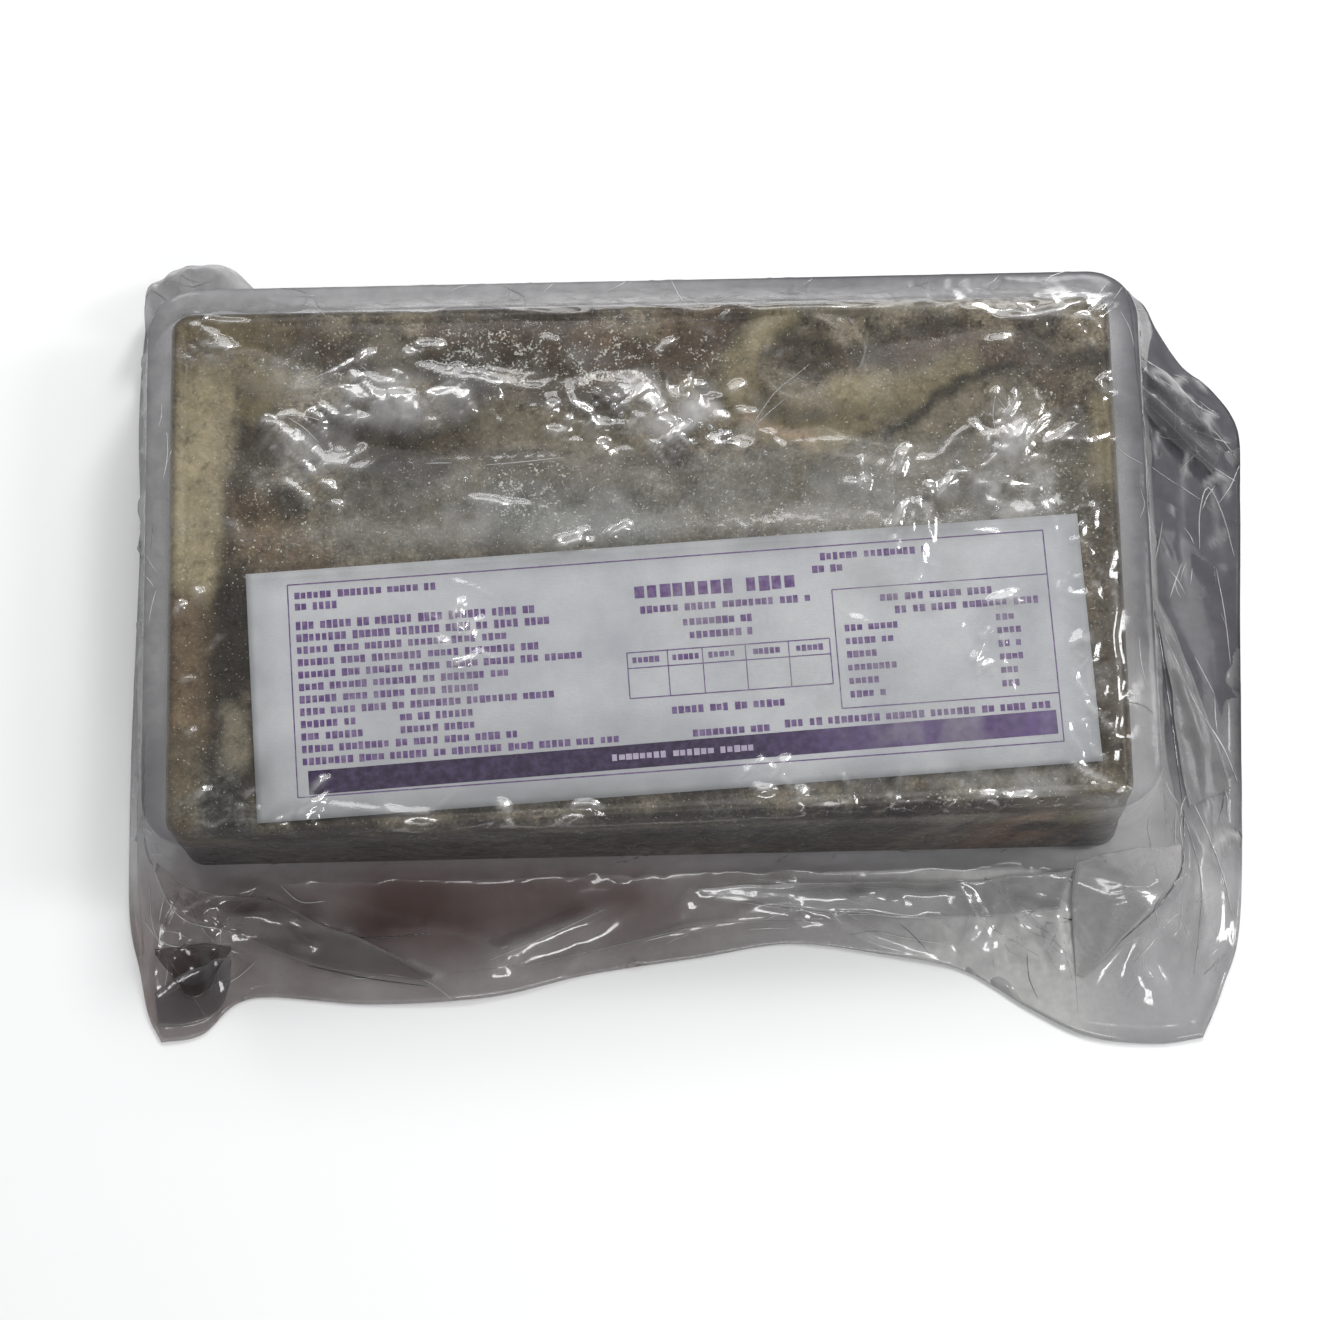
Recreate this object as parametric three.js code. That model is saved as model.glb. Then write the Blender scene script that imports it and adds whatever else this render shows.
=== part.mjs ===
// A slab of whole octopus frozen in ice, with a paper label on it, in a clear plastic bag.
// Millimetres, +Z up, +X along the slab, -Y towards the loose front end of the bag.
// Everything is laid out about the middle of the slab. The last lines move it so that
// the origin lies on the table, under the middle of the whole bag.
import * as THREE from 'three';

// ---------------------------------------------------------------- driving dimensions

const gap = 0.4; // air between neighbouring pieces
const filmFloor = 1; // the film under the slab, thickened

const slab = {
  halfLength: 141,
  back: 79,
  front: -83.5,
  height: 45.5,
  cornerRadius: 10, // upright corners
  edgeRadius: 4, // round the top face
  footRadius: 2.5, // round the underside
  sideLean: 1.5, // how far each side leans in on its way up
  backLean: 2,
  frontLean: [4, 9.5], // at the left end and at the right end
};

const label = { length: 243, width: 73, thickness: 0.4, centre: [7, -33], turnDeg: 3.06 };

// How far the film stands off the slab's base on each side, at its top and at the table.
const rim = { left: 7, right: 8.5, back: 7.5, front: 2.5, radius: 15, height: 46.6, shoulder: 2.5 };
const foot = { left: 14, right: 15, back: 11, front: 5, radius: 17, height: 7 };
const filmEdge = 1.6; // thickness of the bag's free edge

// The bag's free edge on the table, one run for each side, anticlockwise from the left front.
const edgeRuns = {
  front: [[-148, -136], [-136, -134], [-121, -123.5], [-85, -126], [-49, -124.5], [-20, -118.5],
    [14, -114], [41, -110.5], [68, -114], [93, -119.5], [112, -131], [130, -140], [150, -142.5],
    [164, -141]],
  right: [[164, -141], [171, -126], [177, -108], [180, -70], [183, -8], [185, 24], [185.5, 46],
    [178, 59], [169, 67], [162, 79], [158, 88], [150, 93]],
  back: [[150, 93], [120, 91], [60, 91.5], [0, 92], [-70, 91.5], [-108, 92.5], [-120, 97],
    [-130, 102], [-143, 101.5], [-151, 97]],
  left: [[-151, 97], [-156, 86], [-157.5, 55], [-156.5, 20], [-158, -30], [-158.5, -75],
    [-158, -100], [-154.5, -116], [-152, -128], [-148, -136]],
};

// Raised folds in the loose film: the line that each follows, its height and its width.
const folds = [
  { line: [[-7, -98], [-55, -116]], height: 5, width: 8 },
  { line: [[-141, -86], [-106, -100], [-82, -106], [-50, -122]], height: 5, width: 8 },
  { line: [[-142, -88], [-153, -126]], height: 8, width: 8 },
  { line: [[-138, -90], [-129, -126]], height: 6, width: 8 },
  { line: [[20, -92], [51, -97], [88, -97], [97, -104], [101, -118]], height: 5, width: 8 },
  { line: [[55, -99], [86, -115]], height: 4, width: 7 },
  { line: [[104, -98], [123, -124]], height: 6, width: 8 },
  { line: [[158, -66], [156, -92], [149, -105], [126, -128]], height: 9, width: 9 },
  { line: [[158, -95], [170, -118]], height: 7, width: 9 },
  { line: [[147, -112], [158, -136]], height: 8, width: 9 },
  { line: [[157, -16], [178, -68]], height: 8, width: 9 },
  { line: [[158, 20], [182, -2]], height: 7, width: 9 },
  { line: [[154, 68], [180, 47]], height: 12, width: 10 },
  { line: [[154, 62], [182, 28]], height: 9, width: 9 },
];

// The gathered tail that stands up at the left back corner.
const ear = { line: [[-147, 91], [-136, 96], [-126, 95]], height: 22, width: 7 };

// Octopus arms that press up against the top of the slab: centre line, width and rise.
const arms = [
  { line: [[-107, 51], [-117, 60], [-128, 54], [-130, 38], [-129, 17], [-130, -4], [-132, -22],
    [-133, -43], [-136, -63], [-133, -77], [-120, -80]], width: 20 },
  { line: [[-131, 72], [-112, 72], [-91, 70], [-65, 67], [-41, 69], [-12, 66], [12, 71]], width: 17 },
  { line: [[-108, 40], [-92, 49], [-70, 45], [-50, 50], [-28, 44], [-8, 47]], width: 15 },
  { line: [[-112, 20], [-84, 26], [-58, 21], [-30, 27], [0, 22]], width: 16 },
  { line: [[70, 48], [92, 53], [108, 62]], width: 26 },
  { line: [[72, 72], [100, 72], [134, 68]], width: 14 },
  { line: [[134, 60], [131, 36], [132, 8], [130, -20], [132, -50]], width: 16 },
  { line: [[20, 25], [50, 28], [80, 22], [112, 26]], width: 17 },
];
const curl = { centre: [47, 59], radius: 13, width: 13 }; // an arm rolled up on itself
const hollowDepth = 3.5; // of the dips between the arms
const edgeHollow = 0.35; // share of that depth which reaches the top's rounded edge
const sideWaves = { depth: 1.1, along: 38, rows: 1.5 }; // the arms that show at the sides

// Mesh fineness.
const steps = { cornerArc: 3, alongSlab: 42, acrossSlab: 24, side: 5, arc: 3, skirt: 8, wall: 4 };

// ---------------------------------------------------------------- small helpers

const mix = THREE.MathUtils.lerp;
const clamp = THREE.MathUtils.clamp;

/** Distance in plan from (x, y) to an open line of [x, y] points. */
function distanceToLine(x, y, line) {
  let nearest = Infinity;
  for (let i = 1; i < line.length; i += 1) {
    const [ax, ay] = line[i - 1];
    const dx = line[i][0] - ax;
    const dy = line[i][1] - ay;
    const along = clamp(((x - ax) * dx + (y - ay) * dy) / (dx * dx + dy * dy), 0, 1);
    nearest = Math.min(nearest, Math.hypot(x - ax - along * dx, y - ay - along * dy));
  }
  return nearest;
}

/** A round bump: 1 on its centre line, 0 at the given reach from it. */
function bump(distance, reach) {
  return distance < reach ? 0.5 + 0.5 * Math.cos((Math.PI * distance) / reach) : 0;
}

/** Collects the rings and caps of one closed skin, then makes its geometry. */
class Skin {
  constructor() {
    this.positions = [];
    this.triangles = [];
  }

  point(x, y, z) {
    this.positions.push(x, y, z);
    return this.positions.length / 3 - 1;
  }

  ring(points) {
    return points.map(([x, y, z]) => this.point(x, y, z));
  }

  /** Joins each ring of an anticlockwise stack to the next. */
  bridge(rings) {
    for (let r = 1; r < rings.length; r += 1) {
      const low = rings[r - 1];
      const high = rings[r];
      low.forEach((corner, i) => {
        const next = (i + 1) % low.length;
        this.triangles.push(corner, low[next], high[next], corner, high[next], high[i]);
      });
    }
  }

  /** Closes a ring with a flat face that looks up or down. */
  cap(ring, looksUp) {
    const flat = ring.map((i) => new THREE.Vector2(this.positions[3 * i], this.positions[3 * i + 1]));
    THREE.ShapeUtils.triangulateShape(flat, []).forEach(([a, b, c]) => {
      this.triangles.push(ring[a], ring[looksUp ? b : c], ring[looksUp ? c : b]);
    });
  }

  geometry() {
    const geometry = new THREE.BufferGeometry();
    geometry.setAttribute('position', new THREE.Float32BufferAttribute(this.positions, 3));
    geometry.setIndex(this.triangles);
    geometry.computeVertexNormals();
    return geometry;
  }
}

// ---------------------------------------------------------------- plan outlines

/** Places from -1 to 1 along one side, closer together where a corner is round. */
function stopsAlong(halfLength, straightSteps) {
  const straight = 1 - slab.cornerRadius / halfLength;
  const stops = [];
  for (let i = steps.cornerArc; i > 0; i -= 1) {
    const turn = Math.tan((i / steps.cornerArc) * (Math.PI / 4));
    stops.push(-straight - (1 - straight) * turn);
  }
  for (let i = 0; i <= straightSteps; i += 1) {
    stops.push(mix(-straight, straight, i / straightSteps));
  }
  for (let i = 1; i <= steps.cornerArc; i += 1) {
    const turn = Math.tan((i / steps.cornerArc) * (Math.PI / 4));
    stops.push(straight + (1 - straight) * turn);
  }
  return stops;
}

const acrossStops = stopsAlong((slab.back - slab.front) / 2, steps.acrossSlab);
const alongStops = stopsAlong(slab.halfLength, steps.alongSlab);

/** The places round the unit square, anticlockwise from the left front corner. */
function perimeterStops() {
  const side = (name, list, place) => list.slice(0, -1).map((s) => ({ side: name, ...place(s) }));
  return [
    ...side('front', alongStops, (s) => ({ u: s, v: -1, fraction: (s + 1) / 2 })),
    ...side('right', acrossStops, (s) => ({ u: 1, v: s, fraction: (s + 1) / 2 })),
    ...side('back', alongStops, (s) => ({ u: -s, v: 1, fraction: (s + 1) / 2 })),
    ...side('left', acrossStops, (s) => ({ u: -1, v: -s, fraction: (s + 1) / 2 })),
  ];
}
const perimeter = perimeterStops();

/**
 * A point of the rounded rectangle that stands off the slab's base by the margins.
 * `up` runs from 0 at the base to 1 at the top, where the sides lean in.
 */
function planPoint({ u, v }, margins, up) {
  const left = -slab.halfLength - margins.left;
  const right = slab.halfLength + margins.right;
  const front = slab.front - margins.front;
  const back = slab.back + margins.back;
  const halfX = (right - left) / 2;
  const halfY = (back - front) / 2;
  const innerX = clamp(u * halfX, margins.radius - halfX, halfX - margins.radius);
  const innerY = clamp(v * halfY, margins.radius - halfY, halfY - margins.radius);
  const outX = u * halfX - innerX;
  const outY = v * halfY - innerY;
  const stretch = margins.radius / Math.hypot(outX, outY);
  const x = (left + right) / 2 + innerX + outX * stretch;
  const y = (front + back) / 2 + innerY + outY * stretch;
  const towardsFront = clamp((slab.back - y) / (slab.back - slab.front), 0, 1);
  const towardsRight = clamp((x / slab.halfLength + 1) / 2, 0, 1);
  const frontLean = mix(slab.frontLean[0], slab.frontLean[1], towardsRight) * towardsFront;
  return [
    x - (x / slab.halfLength) * slab.sideLean * up,
    y + (frontLean - slab.backLean * (1 - towardsFront)) * up,
  ];
}

/** Margins that are the same on every side; a negative one lies inside the slab. */
function evenMargin(size) {
  return {
    left: size, right: size, front: size, back: size, radius: slab.cornerRadius + size,
  };
}

// ---------------------------------------------------------------- the frozen slab

/** How deep the slab's top dips between the arms at (x, y). */
function hollowAt(x, y) {
  const rises = arms.map(({ line, width }) => bump(distanceToLine(x, y, line), width * 0.8));
  const fromCurl = Math.abs(Math.hypot(x - curl.centre[0], y - curl.centre[1]) - curl.radius);
  rises.push(bump(fromCurl, curl.width * 0.7));
  const underLabel = bump(Math.max(0, Math.abs(y - label.centre[1]) - label.width / 2), 14);
  return hollowDepth * (1 - Math.max(...rises)) * (1 - 0.8 * underLabel);
}

/** How far the arms at the sides draw in between each other. */
function sideHollow(x, y, up) {
  const around = (x + y) / sideWaves.along;
  const row = Math.cos(2 * Math.PI * (sideWaves.rows * up + 0.25 * Math.sin(around)));
  return sideWaves.depth * (0.5 - 0.5 * row) * Math.sin(Math.PI * up) ** 0.5;
}

function makeSlab() {
  const skin = new Skin();
  const base = filmFloor + gap;
  const levels = [];
  for (let i = 0; i <= steps.arc; i += 1) {
    const turn = (i / steps.arc) * (Math.PI / 2);
    levels.push({
      inset: slab.footRadius * (1 - Math.sin(turn)),
      z: slab.footRadius * (1 - Math.cos(turn)),
    });
  }
  const wallTop = slab.height - slab.edgeRadius;
  for (let i = 1; i < steps.side; i += 1) {
    levels.push({ inset: 0, z: mix(slab.footRadius, wallTop, i / steps.side) });
  }
  for (let i = 0; i <= steps.arc; i += 1) {
    const turn = (i / steps.arc) * (Math.PI / 2);
    const z = i === steps.arc ? slab.height : wallTop + slab.edgeRadius * Math.sin(turn);
    levels.push({ inset: slab.edgeRadius * (1 - Math.cos(turn)), z });
  }

  const rings = levels.map(({ inset, z }) => skin.ring(perimeter.map((stop) => {
    const up = z / slab.height;
    const [plainX, plainY] = planPoint(stop, evenMargin(-inset), up);
    const [x, y] = planPoint(stop, evenMargin(-inset - sideHollow(plainX, plainY, up)), up);
    const atEdge = z === slab.height ? edgeHollow : 0;
    return [x, y, base + z - hollowAt(x, y) * atEdge];
  })));
  skin.cap(rings[0], false);
  skin.bridge(rings);

  // The top face: a grid whose border is the last ring.
  const topRing = rings[rings.length - 1];
  const columns = alongStops.length - 1;
  const rows = acrossStops.length - 1;
  const border = (i, j) => {
    if (j === 0) return topRing[i];
    if (i === columns) return topRing[columns + j];
    if (j === rows) return topRing[columns + rows + (columns - i)];
    return topRing[(2 * columns + rows + (rows - j)) % topRing.length];
  };
  const isBorder = (i, j) => i === 0 || j === 0 || i === columns || j === rows;
  const at = (i, j, k) => skin.positions[3 * border(i, j) + k];
  const inside = (i, j, k) => {
    const u = (alongStops[i] + 1) / 2;
    const v = (acrossStops[j] + 1) / 2;
    const frontCorners = mix(at(0, 0, k), at(columns, 0, k), u);
    const backCorners = mix(at(0, rows, k), at(columns, rows, k), u);
    const betweenSides = mix(at(0, j, k), at(columns, j, k), u);
    const betweenEnds = mix(at(i, 0, k), at(i, rows, k), v);
    return betweenSides + betweenEnds - mix(frontCorners, backCorners, v);
  };
  const grid = alongStops.map((_, i) => acrossStops.map((__, j) => {
    if (isBorder(i, j)) return border(i, j);
    const x = inside(i, j, 0);
    const y = inside(i, j, 1);
    return skin.point(x, y, base + slab.height - hollowAt(x, y));
  }));
  for (let i = 0; i < columns; i += 1) {
    for (let j = 0; j < rows; j += 1) {
      const [a, b] = [grid[i][j], grid[i + 1][j]];
      const [c, d] = [grid[i + 1][j + 1], grid[i][j + 1]];
      skin.triangles.push(a, b, c, a, c, d);
    }
  }
  return skin.geometry();
}

// ---------------------------------------------------------------- the label

function makeLabel() {
  const sheet = new THREE.Shape();
  const x = label.length / 2;
  const y = label.width / 2;
  sheet.moveTo(-x, -y).lineTo(x, -y).lineTo(x, y).lineTo(-x, y).closePath();
  return new THREE.ExtrudeGeometry(sheet, { depth: label.thickness, bevelEnabled: false });
}

// ---------------------------------------------------------------- the bag

const edgeCurves = Object.fromEntries(Object.entries(edgeRuns).map(([side, points]) => [
  side, new THREE.SplineCurve(points.map(([x, y]) => new THREE.Vector2(x, y))),
]));

/** Height that the folds add to the loose film at (x, y). */
function foldHeight(x, y) {
  const heights = folds.map(({ line, height, width }) => (
    height * bump(distanceToLine(x, y, line), width)));
  return Math.max(0, ...heights);
}

function makeBag() {
  const skin = new Skin();
  const edge = perimeter.map(({ side, fraction }) => {
    const { x, y } = edgeCurves[side].getPointAt(fraction);
    return [x, y];
  });
  const footLine = perimeter.map((stop) => planPoint(stop, foot, 0));
  const rimLine = perimeter.map((stop) => planPoint(stop, rim, 1));

  const earAt = (x, y) => ear.height * bump(distanceToLine(x, y, ear.line), ear.width * 1.6);
  const rings = [edge.map(([x, y]) => [x, y, 0])];
  for (let r = 0; r < steps.skirt; r += 1) {
    const inwards = r / steps.skirt;
    rings.push(edge.map(([ex, ey], i) => {
      const x = mix(ex, footLine[i][0], inwards);
      const y = mix(ey, footLine[i][1], inwards);
      const drape = mix(filmEdge, foot.height, inwards ** 2);
      const isRaised = mix(0.35, 1, Math.min(1, inwards * 2));
      return [x, y, Math.max(drape + foldHeight(x, y) * isRaised, earAt(x, y))];
    }));
  }
  const rimOuter = rim.height - rim.shoulder;
  for (let r = 0; r <= steps.wall; r += 1) {
    const upwards = r / steps.wall;
    rings.push(footLine.map(([fx, fy], i) => {
      const x = mix(fx, rimLine[i][0], Math.sqrt(upwards));
      const y = mix(fy, rimLine[i][1], Math.sqrt(upwards));
      const plain = mix(foot.height, rimOuter, upwards);
      return [x, y, Math.min(rimOuter, Math.max(plain, earAt(x, y)))];
    }));
  }
  const pocket = evenMargin(gap);
  rings.push(perimeter.map((stop) => [...planPoint(stop, pocket, 1), rim.height]));
  rings.push(perimeter.map((stop) => [...planPoint(stop, pocket, 0), filmFloor]));

  const made = rings.map((points) => skin.ring(points));
  skin.cap(made[0], false);
  skin.bridge(made);
  skin.cap(made[made.length - 1], true);
  return skin.geometry();
}

// ---------------------------------------------------------------- assembly

function makeMesh(name, geometry, colour, roughness, extra = {}) {
  const material = new THREE.MeshStandardMaterial({ color: colour, roughness, metalness: 0, ...extra });
  const mesh = new THREE.Mesh(geometry, material);
  mesh.name = name;
  return mesh;
}

const block = makeMesh('octopus_block', makeSlab(), 0x6c6250, 0.35);
const paper = makeMesh('label', makeLabel(), 0xb0b2b1, 0.8);
const film = { transparent: true, opacity: 0.4 };
const bag = makeMesh('bag', makeBag(), 0x9c9c99, 0.2, film);

paper.position.set(...label.centre, filmFloor + gap + slab.height + gap);
paper.rotation.z = THREE.MathUtils.degToRad(label.turnDeg);

const onTable = new THREE.Group();
onTable.add(block, paper, bag);
const bounds = new THREE.Box3().setFromObject(bag);
onTable.position.set(-(bounds.min.x + bounds.max.x) / 2, -(bounds.min.y + bounds.max.y) / 2, 0);

const wholePack = new THREE.Group();
wholePack.add(onTable);

export default wholePack;
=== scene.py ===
"""A slab of octopus frozen in ice, in a clear bag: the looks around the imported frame.

Shapes are worked out in millimetres about the middle of the slab, with +X along it, -Y towards
the loose front of the bag and z = 0 on the table. to_row() puts them in the row's frame.
"""

import math

import bpy
import numpy as np
from mathutils import Matrix, Vector
from mathutils.bvhtree import BVHTree


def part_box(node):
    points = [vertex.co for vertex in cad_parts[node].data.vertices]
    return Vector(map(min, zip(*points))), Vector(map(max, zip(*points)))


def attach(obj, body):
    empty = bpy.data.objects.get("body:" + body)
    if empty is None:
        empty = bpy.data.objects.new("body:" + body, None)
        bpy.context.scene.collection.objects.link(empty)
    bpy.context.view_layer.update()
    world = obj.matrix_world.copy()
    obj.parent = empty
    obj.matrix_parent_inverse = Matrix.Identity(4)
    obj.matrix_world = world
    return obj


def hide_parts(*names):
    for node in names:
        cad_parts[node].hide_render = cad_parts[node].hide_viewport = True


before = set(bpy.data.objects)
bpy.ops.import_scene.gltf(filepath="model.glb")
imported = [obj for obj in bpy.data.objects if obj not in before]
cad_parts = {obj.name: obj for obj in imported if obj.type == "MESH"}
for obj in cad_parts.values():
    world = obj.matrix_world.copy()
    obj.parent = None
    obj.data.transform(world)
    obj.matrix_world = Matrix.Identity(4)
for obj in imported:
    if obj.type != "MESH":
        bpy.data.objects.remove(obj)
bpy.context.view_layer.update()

# ---------------------------------------------------------------- sizes, in millimetres

SLAB_BACK_TO_MIDDLE = 78.9  # from the slab's rearmost point to y = 0
slab_low, slab_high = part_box("octopus_block")
ORIGIN = np.array([(slab_low.x + slab_high.x) / 2, slab_high.y - SLAB_BACK_TO_MIDDLE / 1000, 0.0])
BASE = slab_low.z * 1000  # the slab's underside
HALF_LENGTH, BACK, FRONT, HEIGHT = 141.0, 79.0, -83.5, 45.5
CORNER, EDGE_RADIUS, FOOT_RADIUS = 6.5, 4.0, 2.5
SIDE_LEAN, BACK_LEAN, FRONT_LEAN = 1.5, 2.0, (4.0, 9.5)
TOP = BASE + HEIGHT  # the flat of the slab's top
SLAB_SPACING = 1.1
FOOT_RINGS, WALL_RINGS, EDGE_RINGS = 5, 32, 7
DENT_DEPTH, DENT_SIZE = 1.3, 9  # hollows in the slab's sides

LABEL_LENGTH, LABEL_WIDTH, LABEL_TURN = 243.0, 73.0, math.radians(3.06)
LABEL_CENTRE = np.array([7.0, -33.0])
LABEL_LIFT = 0.45  # the paper's underside over the flat of the slab
PAPER, INK, INK_LIFT = 0.25, 0.05, 0.02
LABEL_POINTS = (122, 38)
SOAKED_RIM = 9  # how far in from the paper's edge it is soaked

# How far the film stands off the slab's base at its rim and at the wall's foot, and the radius
# of its corners there.
RIM = {"left": 7.0, "right": 8.5, "back": 7.5, "front": 2.5, "radius": 15.0}
FOOT = {"left": 14.0, "right": 15.0, "back": 11.0, "front": 5.0, "radius": 17.0}
FILM_SPACING = 0.96
UNDER_RINGS = (0.0, 0.5, 0.9)  # the film under the slab, as shares of the way out
SKIRT_STEPS, WALL_STEPS = 24, 15
OVER_RINGS = (0.06, 0.14, 0.26, 0.4, 0.56, 0.72, 0.87)  # from the rim in over the slab's edge
# Where the wall's foot is drawn out towards the bag's corners: middle, pull and reach.
DRAWN_OUT = [((-150, -90), (0, -15), 38), ((152, -90), (6, -16), 42), ((152, 84), (4, 3), 25)]
FILM_LIFT = 1.1  # the film over the flat of the slab
RIM_TOP, SHOULDER = 46.4, 2.5  # the rim, and how far below it the wall ends and turns in
FOOT_TOP, EDGE_TOP, UNDER_FILM = 6.5, 1.2, 0.3  # the wall's foot, the free edge, the underside

# The bag's free edge, one run a side, anticlockwise from the left front corner.
EDGE_RUNS = {
    "front": [(-148, -136), (-136, -134), (-121, -123.5), (-85, -126), (-49, -124.5),
              (-20, -118.5), (14, -114), (41, -110.5), (68, -114), (93, -119.5), (112, -131),
              (130, -140), (150, -142.5), (164, -141)],
    "right": [(164, -141), (171, -126), (177, -108), (180, -70), (183, -8), (185, 24),
              (185.5, 46), (178, 59), (169, 67), (162, 79), (158, 88), (150, 93)],
    "back": [(150, 93), (120, 91), (60, 91.5), (0, 92), (-70, 91.5), (-108, 92.5), (-120, 97),
             (-130, 102), (-143, 101.5), (-151, 97)],
    "left": [(-151, 97), (-156, 86), (-157.5, 55), (-156.5, 20), (-158, -30), (-158.5, -75),
             (-158, -100), (-154.5, -116), (-152, -128), (-148, -136)],
}

# ---------------------------------------------------------------- numbers from places


def lattice(i, j, seed):
    """A repeatable number from 0 to 1 for each cell of a grid."""
    n = (i * 374761393 + j * 668265263 + seed * 2246822519) & 0xFFFFFFFF
    n = ((n ^ (n >> 13)) * 1274126177) & 0xFFFFFFFF
    n = ((n ^ (n >> 15)) * 2654435761) & 0xFFFFFFFF
    return (n ^ (n >> 16)) / 2.0**32


def grid_corners(x, y, size, seed):
    """The numbers at the four corners of each point's cell, and the place in it."""
    u, v = x / size, y / size
    i, j = np.floor(u).astype(np.int64), np.floor(v).astype(np.int64)
    corners = [lattice(i + a, j + b, seed) for a, b in ((0, 0), (1, 0), (0, 1), (1, 1))]
    return corners, u - i, v - j


def cloud(x, y, size, seed):
    """Smooth noise from 0 to 1 with lumps of about that size."""
    (a, b, c, d), u, v = grid_corners(x, y, size, seed)
    u, v = u * u * (3 - 2 * u), v * v * (3 - 2 * v)
    return (a * (1 - u) + b * u) * (1 - v) + (c * (1 - u) + d * u) * v


def clouds(x, y, size, seed, octaves=3):
    """Smooth noise with finer and finer detail, about 0 to 1."""
    total, weight = 0.0, 0.0
    for k in range(octaves):
        share = 0.55**k
        total = total + share * cloud(x, y, size / 2.1**k, seed + 17 * k)
        weight += share
    return total / weight


def facets(x, y, size, seed):
    """Noise from -1 to 1 that is made of flat triangles, as crumpled film is."""
    bend = size * 0.9
    wx = x + bend * (cloud(x, y, size * 1.7, seed + 5) - 0.5)
    wy = y + bend * (cloud(x, y, size * 1.7, seed + 9) - 0.5)
    (a, b, c, d), u, v = grid_corners(wx + 0.37 * wy, wy - 0.21 * wx, size, seed)
    lower = a + (b - a) * u + (c - a) * v
    upper = d + (c - d) * (1 - u) + (b - d) * (1 - v)
    return 2 * np.where(u + v < 1, lower, upper) - 1


def ease(t):
    """0 up to t = 0, 1 from t = 1 on, and an easy way between."""
    t = np.clip(t, 0, 1)
    return t * t * (3 - 2 * t)


def ramp(value, start, end):
    """0 up to the start, 1 from the end on, and an easy way between. The end may be the lower."""
    return ease((value - start) / (end - start))


def bell(t):
    """1 at t = 0, rounding off to 0 at t = 1."""
    return 0.5 + 0.5 * np.cos(np.pi * np.clip(t, 0, 1))


def ramps(x, y, terms):
    """A sum of amounts, each of which comes in over a stretch of X, of Y or of both."""
    total = np.zeros(np.shape(x))
    for amount, *stretches in terms:
        share = np.full(np.shape(x), float(amount))
        for axis, start, end in stretches:
            share *= ramp(x if axis == "x" else y, start, end)
        total += share
    return total


def spots(x, y, table, least=0.0):
    """The strength of the strongest spot at each place: middle, reach along X and Y, strength."""
    much = np.full(np.shape(x), least)
    for (cx, cy), (rx, ry), strength in table:
        reach = np.hypot((x - cx) / rx, (y - cy) / ry)
        much = np.maximum(much, strength * (1 - ease(reach - 0.25)))
    return much


def line_distance(x, y, line):
    """Distance from each point to an open line, and how far along it the nearest place is."""
    nearest = np.full(np.shape(x), np.inf)
    place = np.zeros(np.shape(x))
    for k, ((ax, ay), (bx, by)) in enumerate(zip(line, line[1:])):
        dx, dy = bx - ax, by - ay
        t = np.clip(((x - ax) * dx + (y - ay) * dy) / (dx * dx + dy * dy), 0, 1)
        d = np.hypot(x - ax - t * dx, y - ay - t * dy)
        closer = d < nearest
        nearest = np.where(closer, d, nearest)
        place = np.where(closer, (k + t) / (len(line) - 1), place)
    return nearest, place


def smooth_line(points, closed=False):
    """A finely stepped Catmull-Rom curve through the points."""
    p = np.array(points, float)
    before = p[-1:] if closed else 2 * p[:1] - p[1:2]
    after = p[:2] if closed else 2 * p[-1:] - p[-2:-1]
    q = np.concatenate([before, p, after])
    t = np.linspace(0, 1, 12, endpoint=False)[:, None]
    out = []
    for a, b, c, d in zip(q, q[1:], q[2:], q[3:]):
        out.append(
            0.5 * (2 * b + (c - a) * t + (2 * a - 5 * b + 4 * c - d) * t**2
                   + (3 * b - a - 3 * c + d) * t**3)
        )
    if not closed:
        out.append(p[-1:])
    return np.concatenate(out)


def along_curve(curve, fractions):
    """Points at the given shares of a stepped curve's length."""
    step = np.hypot(*np.diff(curve, axis=0).T)
    length = np.concatenate([[0], np.cumsum(step)])
    at = np.asarray(fractions) * length[-1]
    return np.stack([np.interp(at, length, curve[:, k]) for k in (0, 1)], axis=-1)


# ---------------------------------------------------------------- plan outlines


class Outline:
    """Places round the slab's border and over its top, at a chosen spacing."""

    def __init__(self, spacing):
        self.u = self.stops(HALF_LENGTH, spacing)
        self.v = self.stops((BACK - FRONT) / 2, spacing)
        u, v = self.u[:-1], self.v[:-1]
        ones_u, ones_v = np.ones(len(u)), np.ones(len(v))
        self.border_u = np.concatenate([u, ones_v, -u, -ones_v])
        self.border_v = np.concatenate([-ones_u, v, ones_u, -v])
        self.count = len(self.border_u)
        self.sides = (("front", u), ("right", v), ("back", u), ("left", v))

    @staticmethod
    def stops(half, spacing):
        """Places from -1 to 1 along a side, by equal angles where a corner is round."""
        straight = 1 - CORNER / half
        arc = np.tan(np.linspace(0, math.pi / 4, 8))[1:] * (1 - straight)
        steps = round(2 * straight * half / spacing)
        middle = np.linspace(-straight, straight, steps + 1)
        return np.concatenate([-straight - arc[::-1], middle, straight + arc])

    def bag_edge(self):
        """The bag's free edge at each place of the border."""
        runs = [along_curve(smooth_line(EDGE_RUNS[name]), (s + 1) / 2) for name, s in self.sides]
        return np.concatenate(runs)


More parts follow.
